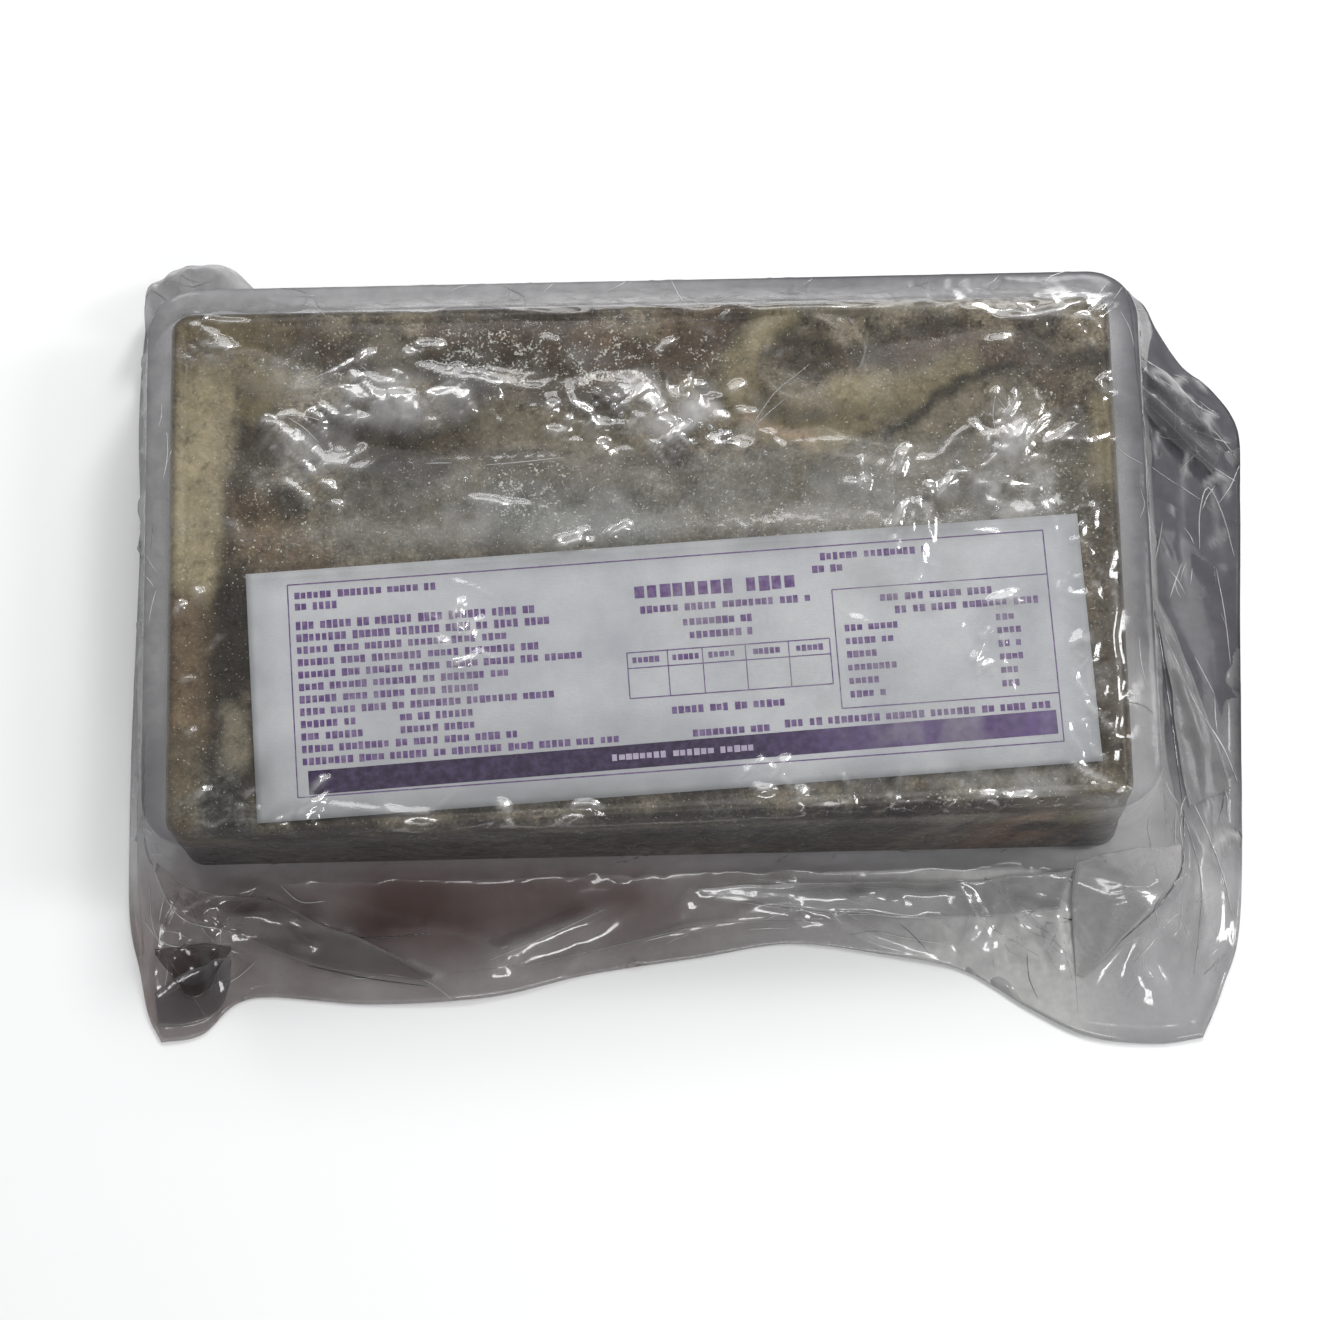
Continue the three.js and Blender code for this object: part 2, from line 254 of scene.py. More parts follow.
def plan(u, v, margins, up):
    """A rounded rectangle that stands off the slab's base by the margins, drawn in by the
    slab's lean, which runs from none at up = 0 to all of it at up = 1."""
    left, right = -HALF_LENGTH - margins["left"], HALF_LENGTH + margins["right"]
    front, back = FRONT - margins["front"], BACK + margins["back"]
    half_x, half_y, radius = (right - left) / 2, (back - front) / 2, margins["radius"]
    inner_x = np.clip(u * half_x, radius - half_x, half_x - radius)
    inner_y = np.clip(v * half_y, radius - half_y, half_y - radius)
    out_x, out_y = u * half_x - inner_x, v * half_y - inner_y
    stretch = radius / np.maximum(np.hypot(out_x, out_y), 1e-9)
    x = (left + right) / 2 + inner_x + out_x * stretch
    y = (front + back) / 2 + inner_y + out_y * stretch
    to_front = np.clip((BACK - y) / (BACK - FRONT), 0, 1)
    to_right = np.clip((x / HALF_LENGTH + 1) / 2, 0, 1)
    lean = (FRONT_LEAN[0] + (FRONT_LEAN[1] - FRONT_LEAN[0]) * to_right) * to_front
    x = x - x / HALF_LENGTH * SIDE_LEAN * up
    y = y + (lean - BACK_LEAN * (1 - to_front)) * up
    return np.stack([x, y], axis=-1)


def even(size):
    """The same margin on every side. A negative one is an inset."""
    return {"left": size, "right": size, "front": size, "back": size, "radius": CORNER + size}


def fill_border(border, outline):
    """Spreads a ring of border points over the grid inside it, as a Coons patch does."""
    nu, nv = len(outline.u), len(outline.v)
    front = border[: nu]
    right = border[nu - 1 : nu + nv - 1]
    back = border[nu + nv - 2 : 2 * nu + nv - 2][::-1]
    left = np.concatenate([border[2 * nu + nv - 3 :], border[:1]])[::-1]
    s = ((outline.u + 1) / 2)[:, None, None]
    t = ((outline.v + 1) / 2)[None, :, None]
    sides = left[None] * (1 - s) + right[None] * s
    ends = front[:, None] * (1 - t) + back[:, None] * t
    corners = (
        front[0] * (1 - s) * (1 - t) + front[-1] * s * (1 - t)
        + back[0] * (1 - s) * t + back[-1] * s * t
    )
    return sides + ends - corners


# ---------------------------------------------------------------- meshes


def to_row(points):
    """Millimetres about the slab's middle, as metres in the row's frame."""
    return np.asarray(points, float) / 1000 + ORIGIN


def make_mesh(name, points, faces, smooth=True, replaces=()):
    """A piece from points in millimetres and lists of corners."""
    mesh = bpy.data.meshes.new(name)
    mesh.from_pydata(to_row(points).tolist(), [], faces)
    mesh.validate()
    mesh.update()
    if smooth:
        mesh.polygons.foreach_set("use_smooth", np.ones(len(mesh.polygons), bool))
    piece = bpy.data.objects.new(name, mesh)
    bpy.context.scene.collection.objects.link(piece)
    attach(piece, "root")
    if replaces:
        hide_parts(*replaces)
    return piece


def set_numbers(piece, **numbers):
    """Numbers at each point of a piece, or one for all of it, for its material to read."""
    for name, values in numbers.items():
        attribute = piece.data.attributes.new(name, "FLOAT", "POINT")
        whole = np.broadcast_to(np.asarray(values, np.float32), len(piece.data.vertices))
        attribute.data.foreach_set("value", np.ascontiguousarray(whole))


def ring_faces(first, second, count):
    """Quads between two rings of points, the first below or outside the second."""
    k = np.arange(count)
    n = (k + 1) % count
    return np.stack([first + k, first + n, second + n, second + k], axis=1).tolist()


def grid_quads(index):
    """Quads over a grid of point numbers."""
    corners = (index[:-1, :-1], index[1:, :-1], index[1:, 1:], index[:-1, 1:])
    return np.stack([corner.ravel() for corner in corners], axis=1)


def dome_faces(outline, border_start, inner_start):
    """Quads over a grid whose border is a ring and whose inside follows row by row."""
    nu, nv = len(outline.u), len(outline.v)
    index = np.zeros((nu, nv), int)
    ring = border_start + np.arange(outline.count)
    index[:, 0] = ring[:nu]
    index[-1, :] = ring[nu - 1 : nu + nv - 1]
    index[:, -1] = ring[nu + nv - 2 : 2 * nu + nv - 2][::-1]
    index[0, 1:] = ring[2 * nu + nv - 3 :][::-1]
    index[1:-1, 1:-1] = inner_start + np.arange((nu - 2) * (nv - 2)).reshape(nu - 2, nv - 2)
    return grid_quads(index).tolist()


def sheet_faces(index, flip=False):
    """Faces of a thin sheet: its upper grid, the lower grid, numbered after it, and the rim."""
    quads, below = grid_quads(index), index.size
    loop = np.concatenate([index[:-1, 0], index[-1, :-1], index[:0:-1, -1], index[0, :0:-1]])
    after = np.roll(loop, -1)
    rim = np.stack([loop, loop + below, after + below, after], axis=1)
    faces = np.concatenate([quads, quads[:, ::-1] + below, rim])
    return (faces[:, ::-1] if flip else faces).tolist()


def stacked_faces(outline, rings):
    """Faces of rings of points one over the other, with one face below and a dome above."""
    n = outline.count
    faces = [list(range(n))[::-1]]
    for k in range(rings - 1):
        faces += ring_faces(k * n, (k + 1) * n, n)
    return faces + dome_faces(outline, (rings - 1) * n, rings * n)


# ---------------------------------------------------------------- what the slab holds


def srgb(r, g, b):
    """A colour given as the eye sees it, from 0 to 255, as linear light."""
    c = np.array([r, g, b]) / 255
    return np.where(c <= 0.04045, c / 12.92, ((c + 0.055) / 1.055) ** 2.4)


# Octopus arms that press up against the top: centre line and width, as in the solid.
ARMS = [
    ([(-107, 51), (-117, 60), (-128, 54), (-130, 38), (-129, 17), (-130, -4), (-132, -22),
      (-133, -43), (-136, -63), (-133, -77), (-120, -80)], 20),
    ([(-131, 72), (-112, 72), (-91, 70), (-65, 67), (-41, 69), (-12, 66), (12, 71)], 17),
    ([(-108, 40), (-92, 49), (-70, 45), (-50, 50), (-28, 44), (-8, 47)], 15),
    ([(-112, 20), (-84, 26), (-58, 21), (-30, 27), (0, 22)], 16),
    ([(70, 48), (92, 53), (108, 62)], 26),
    ([(72, 72), (100, 72), (134, 68)], 14),
    ([(134, 60), (131, 36), (132, 8), (130, -20), (132, -50)], 16),
    ([(20, 25), (50, 28), (80, 22), (112, 26)], 17),
]
CURL_CENTRE, CURL_RADIUS, CURL_WIDTH = (47, 59), 13, 13
HOLLOW = 3.5
LABEL_REACH = 14  # how far round the label the top is kept nearly flat

CREAM = srgb(160, 152, 128)
BEIGE = srgb(152, 144, 120)
OLIVE = srgb(118, 111, 88)
STONE = srgb(124, 119, 106)
BROWN = srgb(106, 92, 74)
RUST = srgb(88, 68, 50)
WINE = srgb(76, 64, 52)
SHADE = srgb(68, 60, 47)
DEEP = srgb(40, 34, 27)
MIST = srgb(138, 139, 132)
SLATE = srgb(104, 108, 106)
PINK = srgb(150, 130, 110)
BETWEEN = (srgb(68, 60, 50), srgb(128, 121, 106))  # dark and pale meat between the patches
PALE = 0.1  # mean light of a tone from which it counts as smooth pale flesh
WANDER = ((14, 6, 3), (4, 2.4, 2))  # a patch's border: lump size, how far it strays, octaves
MOTTLE_SIZE, GRAIN_SIZE, VEIN_SPACING, VEIN_WIDTH = 13, 4.6, 9, 0.022
FRONT_EDGE = -84.0  # the top's front edge, from where the slab's front is drawn out flat
FRONT_STRETCH = 0.55  # noise on the front is drawn out downwards by this share
WARMTH, FRONT_CAST = np.array([1.0, 0.95, 0.86]), np.array([-0.1, 0.1, 0.16])

# Patches of skin, flesh, ice and dark gaps: line, half width, colour, strength, softness.
PATCHES = [
    ([(-80, 14), (-66, 14), (-1, 17), (64, 19), (128, 21)], 13, srgb(104, 101, 91), 0.8, 0.5),
    ([(-138, 72), (-119, 70), (-101, 67)], 7, srgb(104, 95, 74), 0.9, 0.5),
    ([(-116, 20), (-110, 8), (-101, 1)], 10, BROWN, 0.8, 0.6),
    ([(-115, 46), (-112, 35), (-119, 26)], 6, SHADE, 0.9, 0.5),
    ([(-124, 26), (-124, 8), (-125, -10), (-122, -28)], 4, SHADE, 0.85, 0.5),
    ([(-122, -10), (-122, -34), (-122, -60), (-121, -78)], 8, DEEP, 1.0, 0.5),
    ([(-119, -46), (-120, -56)], 5, STONE, 0.8, 0.6),
    ([(-133, 55), (-126, 57), (-117, 58), (-110, 55), (-113, 49)], 6, OLIVE, 0.9, 0.35),
    ([(-127, 50), (-131, 35), (-132, 23), (-133, 11), (-135, -6)], 8.5, BEIGE, 1.0, 0.35),
    ([(-130, 44), (-133, 30), (-134, 14)], 5, CREAM, 0.9, 0.7),
    ([(-134, -14), (-134, -33), (-134, -48)], 7, BROWN, 0.85, 0.6),
    ([(-136, -57), (-136, -68), (-134, -79), (-128, -86)], 6.5, srgb(100, 91, 74), 0.95, 0.5),
    ([(-128, -84), (-120, -86), (-113, -85)], 4, srgb(104, 92, 72), 0.9, 0.6),
    ([(-96, 67), (-88, 62)], 5, WINE, 0.8, 0.6),
    ([(-78, 66), (-68, 58)], 6, STONE, 0.8, 0.6),
    ([(-64, 60), (-58, 57), (-48, 55)], 4, DEEP, 0.85, 0.6),
    ([(-60, 68), (-48, 69), (-33, 67), (-20, 60)], 7, WINE, 0.8, 0.6),
    ([(-16, 67), (-9, 63), (-12, 57)], 6, RUST, 0.85, 0.6),
    ([(-3, 62), (6, 59), (18, 64), (31, 71)], 5.5, WINE, 0.9, 0.6),
    ([(8, 69), (20, 72)], 5, RUST, 0.5, 0.7),
    ([(-89, 37), (-73, 33), (-58, 32), (-49, 38)], 7, SHADE, 0.85, 0.6),
    ([(-72, 31), (-65, 27)], 6, DEEP, 0.8, 0.7),
    ([(-45, 41), (-24, 39), (-10, 35)], 6, STONE, 0.85, 0.6),
    ([(-107, 23), (-102, 18)], 3.5, DEEP, 0.75, 0.6),
    ([(-42, 14), (-25, 12), (-1, 9)], 7, SLATE, 0.75, 0.8),
    ([(44, 71), (37, 67), (31, 60), (29, 51), (32, 43), (41, 38), (56, 37), (68, 42)], 6, OLIVE,
     0.95, 0.4),
    ([(36, 66), (31, 58), (30, 50)], 4, BEIGE, 0.7, 0.7),
    ([(30, 44), (38, 38), (50, 35)], 2.5, PINK, 0.55, 0.8),
    ([(44, 60), (53, 61), (61, 58)], 5.5, SHADE, 0.95, 0.5),
    ([(45, 49), (56, 46)], 4.5, STONE, 0.8, 0.7),
    ([(67, 62), (74, 63)], 3.5, DEEP, 0.8, 0.6),
    ([(74, 61), (89, 63), (104, 61), (112, 58)], 5, WINE, 0.8, 0.6),
    ([(66, 47), (78, 50), (93, 54)], 8, OLIVE, 0.95, 0.4),
    ([(60, 50), (68, 49)], 5, BEIGE, 0.7, 0.8),
    ([(83, 38), (95, 44), (112, 47)], 7, STONE, 0.85, 0.6),
    ([(112, 57), (97, 53), (89, 48), (82, 43), (72, 35)], 1.8, DEEP, 0.85, 0.8),
    ([(119, 55), (121, 50)], 3.5, WINE, 0.7, 0.7),
    ([(123, 59), (139, 57)], 3.5, DEEP, 0.75, 0.7),
    ([(136, 43), (136, 30), (135, 17)], 5, OLIVE, 0.85, 0.5),
    ([(135, 12), (134, -12), (136, -39), (136, -62)], 6, SHADE, 0.85, 0.5),
    ([(50, 76), (90, 76), (130, 75)], 3, STONE, 0.7, 0.7),
    # the front, drawn out flat below the top's front edge
    ([(-113, -88), (-92, -90), (-63, -89)], 8, DEEP, 0.85, 0.5),
    ([(-104, -90), (-87, -91)], 4, WINE, 0.7, 0.7),
    ([(-63, -92), (-26, -88), (14, -87), (57, -86)], 9, SHADE, 0.85, 0.5),
    ([(-40, -84), (20, -81), (60, -80)], 2.5, STONE, 0.6, 0.8),
    ([(84, -80), (106, -78)], 5, STONE, 0.85, 0.6),
    ([(80, -92), (102, -90)], 5, WINE, 0.8, 0.7),
    ([(106, -75), (122, -76)], 3.5, BROWN, 0.8, 0.7),
    ([(94, -85), (94, -106)], 5.5, STONE, 0.8, 0.4),
    ([(106, -86), (105, -104)], 4.5, STONE, 0.7, 0.4),
    ([(119, -85), (119, -108)], 6.5, PINK, 0.85, 0.4),
    ([(124, -90), (132, -88)], 4, DEEP, 0.85, 0.6),
    ([(132, -80), (137, -86)], 5, OLIVE, 0.85, 0.6),
    ([(89, -70), (124, -68)], 5, MIST, 0.5, 0.8),
]

# Arms in the sides: rows of them, how far down the rows lie, lengths and half widths.
ARM_ROWS, FIRST_ARM_DEPTH, ARM_PITCH = 3, 6, 13.5
ARM_LENGTHS, ARM_HALF_WIDTHS = (26, 70), (4.5, 6.5)


def side_patches():
    """Arms pressed against the four sides, lying one over the other with dark gaps between."""
    rng = np.random.default_rng(41)
    tones = (BEIGE, OLIVE, BROWN, STONE, PINK, CREAM, BROWN, OLIVE)
    made = []
    runs = [  # start and end of each side's top edge in the drawn-out plan, and the way out
        ((-130, -96), (130, -91), (0, -1)),
        ((148, -70), (148, 70), (1, 0)),
        ((132, 84), (-132, 84), (0, 1)),
        ((-148, 70), (-148, -70), (-1, 0)),
    ]
    for start, end, out in runs:
        start, end, out = (np.array(p, float) for p in (start, end, out))
        length = np.linalg.norm(end - start)
        for row in range(ARM_ROWS):
            at = rng.uniform(-20, 5)
            while at < length:
                long = rng.uniform(*ARM_LENGTHS)
                sway = rng.uniform(-4, 4, 3)
                depth = FIRST_ARM_DEPTH + ARM_PITCH * row
                line = [
                    tuple(start + (end - start) * np.clip((at + long * k / 2) / length, 0, 1)
                          + out * (depth + sway[k]))
                    for k in range(3)
                ]
                tone = tones[rng.integers(len(tones))]
                made.append((line, rng.uniform(*ARM_HALF_WIDTHS), tone, 0.8, 0.5))
                at += long + rng.uniform(2, 12)
    return made


def hollow_at(x, y):
    """How deep the slab's top dips between the arms."""
    off_curl = np.abs(np.hypot(x - CURL_CENTRE[0], y - CURL_CENTRE[1]) - CURL_RADIUS)
    rise = bell(off_curl / (CURL_WIDTH * 0.7))
    for line, width in ARMS:
        rise = np.maximum(rise, bell(line_distance(x, y, line)[0] / (width * 0.8)))
    flat = bell((np.abs(y - LABEL_CENTRE[1]) - LABEL_WIDTH / 2) / LABEL_REACH)
    return HOLLOW * (1 - rise) * (1 - 0.8 * flat)


def paint(x, y):
    """The slab's colour at each place of its drawn-out surface, with painted shade on the patches
    and the front face, and how rugged it looks.
    """
    wx, wy = x, y
    for k, (size, far, octaves) in enumerate(WANDER):
        wx = wx + far * (clouds(x, y, size, 3 + k, octaves) - 0.5)
        wy = wy + far * (clouds(x, y, size, 7 + k, octaves) - 0.5)
    below = np.maximum(FRONT_EDGE - 2 - y, 0)
    ny = wy + FRONT_STRETCH * below
    mottle = ramp(clouds(wx, ny, MOTTLE_SIZE, 21, 4), 0.36, 0.64)[:, None]
    colour = BETWEEN[0] * (1 - mottle) + BETWEEN[1] * mottle
    rugged = np.ones(np.shape(x))
    for line, width, tone, strength, soft in side_patches() + PATCHES:
        off = line_distance(wx, wy, line)[0] / width
        cover = strength * (1 - ease((off - 1 + soft) / (2 * soft)))
        # Painted shade: each patch is lighter along its middle and darker towards its edges, as if
        # rounded and lit.
        round_shaded_tone = tone * (1.12 - 0.3 * np.clip(off, 0, 1) ** 2)[:, None]
        colour = colour * (1 - cover[:, None]) + round_shaded_tone * cover[:, None]
        rugged *= 1 - (0.75 if tone.mean() > PALE else 0.25) * cover
    front = ramp(y, FRONT_EDGE, FRONT_EDGE - 5)
    grain = 0.7 + 0.6 * clouds(wx, ny, GRAIN_SIZE, 31, 3)
    off_vein = np.abs(clouds(wx, ny, VEIN_SPACING, 35, 3) - 0.5)
    veins = 1 - 0.45 * ease(1 - off_vein / VEIN_WIDTH)
    # Painted shade: the slab's front face is darkened, less so towards the right. The top also gets
    # darker towards its front edge.
    painted_front_shade = 1 - (0.84 - 0.3 * ramp(x, 45, 105)) * front
    light = 0.86 * grain * veins * painted_front_shade * (1 - 0.22 * ramp(y, -62, -76))
    colour = colour * light[:, None] * WARMTH * (1 - front[:, None] * FRONT_CAST)
    return colour, (0.2 + 0.8 * rugged) * (1 - 0.6 * ease(below / 6))


# Where frost crystals lie thickest: middle, reach along X and Y, strength.
GRITTY = [
    ((-45, 62), (30, 13), 1.0), ((-14, 60), (26, 14), 1.0), ((-35, 20), (22, 14), 0.8),
    ((-95, 62), (30, 12), 0.45), ((20, 62), (20, 10), 0.5), ((60, 10), (70, 16), 0.45),
    ((110, 30), (30, 28), 0.4), ((-110, 10), (20, 24), 0.45), ((-20, -82), (110, 10), 0.4),
    ((0, 17), (125, 16), 0.42), ((116, 20), (22, 50), 0.5), ((100, -78), (40, 12), 0.5),
]
HAZE_MIDDLE, HAZE_REACH = 15, 13  # the milky haze across the slab, along Y


def grit_at(x, y):
    """How thickly frost crystals lie."""
    return np.clip(spots(x, y, GRITTY, 0.05) * (0.5 + clouds(x, y, 8, 63, 3)), 0, 1)


def frost_at(x, y):
    """How milky the ice is: a haze across the middle, and loose drifts elsewhere."""
    band = np.exp(-(((y - HAZE_MIDDLE) / HAZE_REACH) ** 2)) * ramp(x, -118, -88)
    drift = ramp(clouds(x, y, 24, 51, 4), 0.5, 0.75)
    fine = ramp(clouds(x, y, 3.0, 57, 3), 0.42, 0.67)
    return np.clip((0.42 * band + 0.3 * drift) * (0.25 + 0.75 * fine), 0, 1)


def slab_levels():
    """Rings up the slab's side, each an inset and a height: a round foot, a wall, a round edge."""
    levels = []
    for turn in np.linspace(0, math.pi / 2, FOOT_RINGS):
        levels.append((FOOT_RADIUS * (1 - math.sin(turn)), FOOT_RADIUS * (1 - math.cos(turn))))
    wall_top = HEIGHT - EDGE_RADIUS
    levels += [(0.0, z) for z in np.linspace(FOOT_RADIUS, wall_top, WALL_RINGS)[1:-1]]
    for turn in np.linspace(0, math.pi / 2, EDGE_RINGS):
        inset = EDGE_RADIUS * (1 - math.cos(turn))
        levels.append((inset, wall_top + EDGE_RADIUS * math.sin(turn)))
    return levels


def make_slab():
    """The slab, with hollows in its top and dents in its sides. For its colours the sides are
    drawn out flat round the top."""
    outline = Outline(SLAB_SPACING)
    levels = slab_levels()
    u, v = outline.border_u, outline.border_v
    top_edge = plan(u, v, even(-EDGE_RADIUS), 1)
    outward = plan(u, v, even(0), 1) - top_edge
    outward /= np.linalg.norm(outward, axis=1)[:, None]
    points, drawn = [], []
    for inset, z in levels:
        flat = top_edge + outward * (HEIGHT - z + max(0.0, EDGE_RADIUS - inset) * 0.4)
        bulge = DENT_DEPTH * math.sin(math.pi * z / HEIGHT)
        dent = bulge * (clouds(*flat.T, DENT_SIZE, 61) - 0.35)
        ring = plan(u, v, even(-inset), z / HEIGHT) - outward * np.maximum(dent, 0)[:, None]
        points.append(np.column_stack([ring, np.full(len(ring), BASE + z)]))
        drawn.append(flat)
    inside = fill_border(points[-1][:, :2], outline)[1:-1, 1:-1].reshape(-1, 2)
    points.append(np.column_stack([inside, np.full(len(inside), TOP)]))
    drawn.append(inside)

    points, (x, y) = np.concatenate(points), np.concatenate(drawn).T
    top = points[:, 2] > TOP - 0.01
    sunk = hollow_at(x, y) + 0.5 * (clouds(x, y, 5, 71) - 0.3)
    border_start = (len(levels) - 1) * outline.count
    sunk[border_start : border_start + outline.count] *= 0.35
    points[top, 2] -= np.maximum(sunk[top], 0)

    faces = stacked_faces(outline, len(levels))
    slab = make_mesh("frozen_slab", points, faces, replaces=["octopus_block"])
    tone, rugged = paint(x, y)
    attribute = slab.data.attributes.new("tone", "FLOAT_COLOR", "POINT")
    opaque = np.column_stack([tone, np.ones(len(tone))]).astype(np.float32)
    attribute.data.foreach_set("color", opaque.ravel())
    set_numbers(slab, rugged=rugged, frost=frost_at(x, y), grit=grit_at(x, y))
    return slab


# ---------------------------------------------------------------- the label


def label_to_plan(a, b):
    """From the label's own length and width, about its middle, to the plan."""
    c, s = math.cos(LABEL_TURN), math.sin(LABEL_TURN)
    return LABEL_CENTRE[0] + a * c - b * s, LABEL_CENTRE[1] + a * s + b * c


def label_height(a, b):
    """Height of the paper's upper face: nearly flat, with a few shallow waves."""
    wave = 0.22 * clouds(a, b, 38, 81) + 0.1 * np.sin(a / 19 + b / 40)
    return TOP + LABEL_LIFT + PAPER + wave


def sheet_points(a, b, lift):
    """Places on the paper, lifted off it a little or set into it."""
    x, y = label_to_plan(a, b)
    return np.column_stack([x.ravel(), y.ravel(), (label_height(a, b) + lift).ravel()])


def make_label():
    """The paper: a fine grid with an upper and a lower face."""
    nu, nv = LABEL_POINTS
    a, b = np.meshgrid(
        np.linspace(-LABEL_LENGTH / 2, LABEL_LENGTH / 2, nu),
        np.linspace(-LABEL_WIDTH / 2, LABEL_WIDTH / 2, nv),
        indexing="ij",
    )
    points = np.concatenate([sheet_points(a, b, 0), sheet_points(a, b, -PAPER)])
    faces = sheet_faces(np.arange(nu * nv).reshape(nu, nv))
    paper = make_mesh("label_paper", points, faces, replaces=["label"])
    from_edge = np.minimum(LABEL_LENGTH / 2 - np.abs(a), LABEL_WIDTH / 2 - np.abs(b))
    soaked = 0.3 + 0.7 * ease(1 - from_edge / SOAKED_RIM) * clouds(a, b, 12, 83)
    soaked = soaked + 0.22 * ramp(b, -8, -20) * ramp(a, 30, -10)
    set_numbers(paper, soaked=np.tile(soaked.ravel(), 2))
    return paper


class Print:
    """Bars and lines of one ink, each a thin strip that follows the paper."""

    def __init__(self, name):
        self.name, self.points, self.faces, self.count = name, [], [], 0

    def bar(self, start, end, width):
        """A strip between two places on the label, along its length or its width."""
        start, end = np.array(start, float), np.array(end, float)
        run = end - start
        length = float(np.hypot(*run))
        steps = max(1, round(length / 5))
        across = np.array([-run[1], run[0]]) / length * width / 2
        line = start + run * np.linspace(0, 1, steps + 1)[:, None]
        for lift in (INK_LIFT + INK, INK_LIFT):
            for edge in (line - across, line + across):
                self.points.append(sheet_points(*edge.T, lift))
        n, k = steps + 1, self.count
        for i in range(steps):
            tl, tr, bl, br = (k + i + n * side for side in range(4))
            self.faces += [[tl, tl + 1, tr + 1, tr], [bl, br, br + 1, bl + 1],
                           [tl, bl, bl + 1, tl + 1], [tr, tr + 1, br + 1, br]]
        last = k + steps
        self.faces += [[k, k + n, k + 3 * n, k + 2 * n],
                       [last, last + 2 * n, last + 3 * n, last + n]]
        self.count += 4 * n

    def box(self, a0, a1, b0, b1, width):
        """Four thin bars along the sides of a box."""
        for start, end in (((a0, b0), (a1, b0)), ((a1, b0), (a1, b1)), ((a0, b1), (a1, b1)),
                           ((a0, b0), (a0, b1))):
            self.bar(start, end, width)

    def words(self, start, length, height, rng, letter):
        """A line of print: words of short plain blocks, none of which is a letter."""
        a, b = start
        end = a + length
        while a < end - letter:
            for _ in range(rng.integers(2, 9)):
                wide = letter * rng.uniform(0.66, 0.86)
                if a + wide > end:
                    break
                self.bar((a, b), (a + wide, b), height * rng.uniform(0.72, 0.96))
                a += letter
            a += letter * 0.8

    def make(self):
        points = np.concatenate(self.points)
        return make_mesh(self.name, points, self.faces, smooth=False)


# The label's layout, in millimetres about its middle.
FRAME_BOX = (-109.5, 111.0, -30.0, 32.3, 0.34)
GRADE_BOX, GRADE_LINE, GRADE_STOPS = (-12.5, 46.3, -8.4, 5.0, 0.32), 0.4, (-0.8, 9.3, 21.8, 34.3)
FACTS_BOX = (48.2, 111.0, -15.8, 19.2, 0.32)
LEFT_EDGE, LEFT_TOP, LINE_PITCH = -107.6, 20.0, 3.62
LEFT_LINES = (71, 75, 62, 71, 83, 64, 53, 74, 19, 21, 63, 92)  # how long each line is
LETTER_HEIGHT, LETTER = 2.35, 1.85
RIGHT_COLUMN, RIGHT_COLUMN_ROWS = -79.0, (10, 11)  # two lines have a second part
GRADE_WORDS = (-11.0, 0.6, 11.0, 24.0, 36.5)
FACTS_TOP, FACTS_PITCH, FACTS_ROWS = 7.6, 3.9, 6
FACTS_WORDS = ((51.0, 10, 20), (95.0, 5, 9))  # start, shortest and longest
BAND_START, BAND_END, BAND_WIDTH = (-106.2, -26.0), (109.6, -24.2), 6.9
# Other lines of print: height on the label, start and end.
LOOSE_LINES = [
    (17.3, -7.7, 43.0), (12.8, 4.4, 28.0), (8.9, 6.1, 26.0), (-12.7, -0.7, 32.0),
    (-19.0, 31.4, 110.0), (-19.8, 4.8, 27.0), (29.2, 45.6, 78.0), (25.6, 43.0, 53.0),
    (15.8, 62.0, 96.0), (12.0, 66.0, 108.0),
]


def make_print():
    """Purple bars, boxes and lines in the layout of a food label."""
    rng = np.random.default_rng(5)
    rules = Print("label_rules")
    rules.box(*FRAME_BOX)
    rules.box(*GRADE_BOX)
    rules.bar((GRADE_BOX[0], GRADE_LINE), (GRADE_BOX[1], GRADE_LINE), 0.3)
    for a in GRADE_STOPS:
        rules.bar((a, GRADE_BOX[2]), (a, GRADE_BOX[3]), 0.3)
    rules.box(*FACTS_BOX)

    text = Print("label_text_bars")
    lines = [(28.9, 42), (25.6, 15)]
    lines += [(LEFT_TOP - LINE_PITCH * k, length) for k, length in enumerate(LEFT_LINES)]
    for k, (b, length) in enumerate(lines):
        text.words((LEFT_EDGE, b), length, 2.7 if k in (2, 3) else LETTER_HEIGHT, rng, LETTER)
        if k in RIGHT_COLUMN_ROWS:
            text.words((RIGHT_COLUMN, b), 22, LETTER_HEIGHT, rng, LETTER)
    for b, start, end in LOOSE_LINES:
        text.words((start, b), end - start, LETTER_HEIGHT, rng, 1.9)
    for a in GRADE_WORDS:
        text.words((a, 2.7), 8.0, 2.0, rng, 1.6)
    for k in range(FACTS_ROWS):
        for a, shortest, longest in FACTS_WORDS:
            place = (a, FACTS_TOP - FACTS_PITCH * k)
            text.words(place, rng.uniform(shortest, longest), 2.1, rng, 1.8)

    title = Print("label_title_bars")
    title.words((-9.0, 22.6), 50, 4.6, rng, 3.7)
    band = Print("label_band")
    band.bar(BAND_START, BAND_END, BAND_WIDTH)
    pale = Print("label_band_bars")
    pale.words((-18.9, -25.2), 44, 2.1, rng, 2.0)
    for points in pale.points:
        points[:, 2] += INK
    return [ink.make() for ink in (rules, text, title, band, pale)]


# ---------------------------------------------------------------- the film

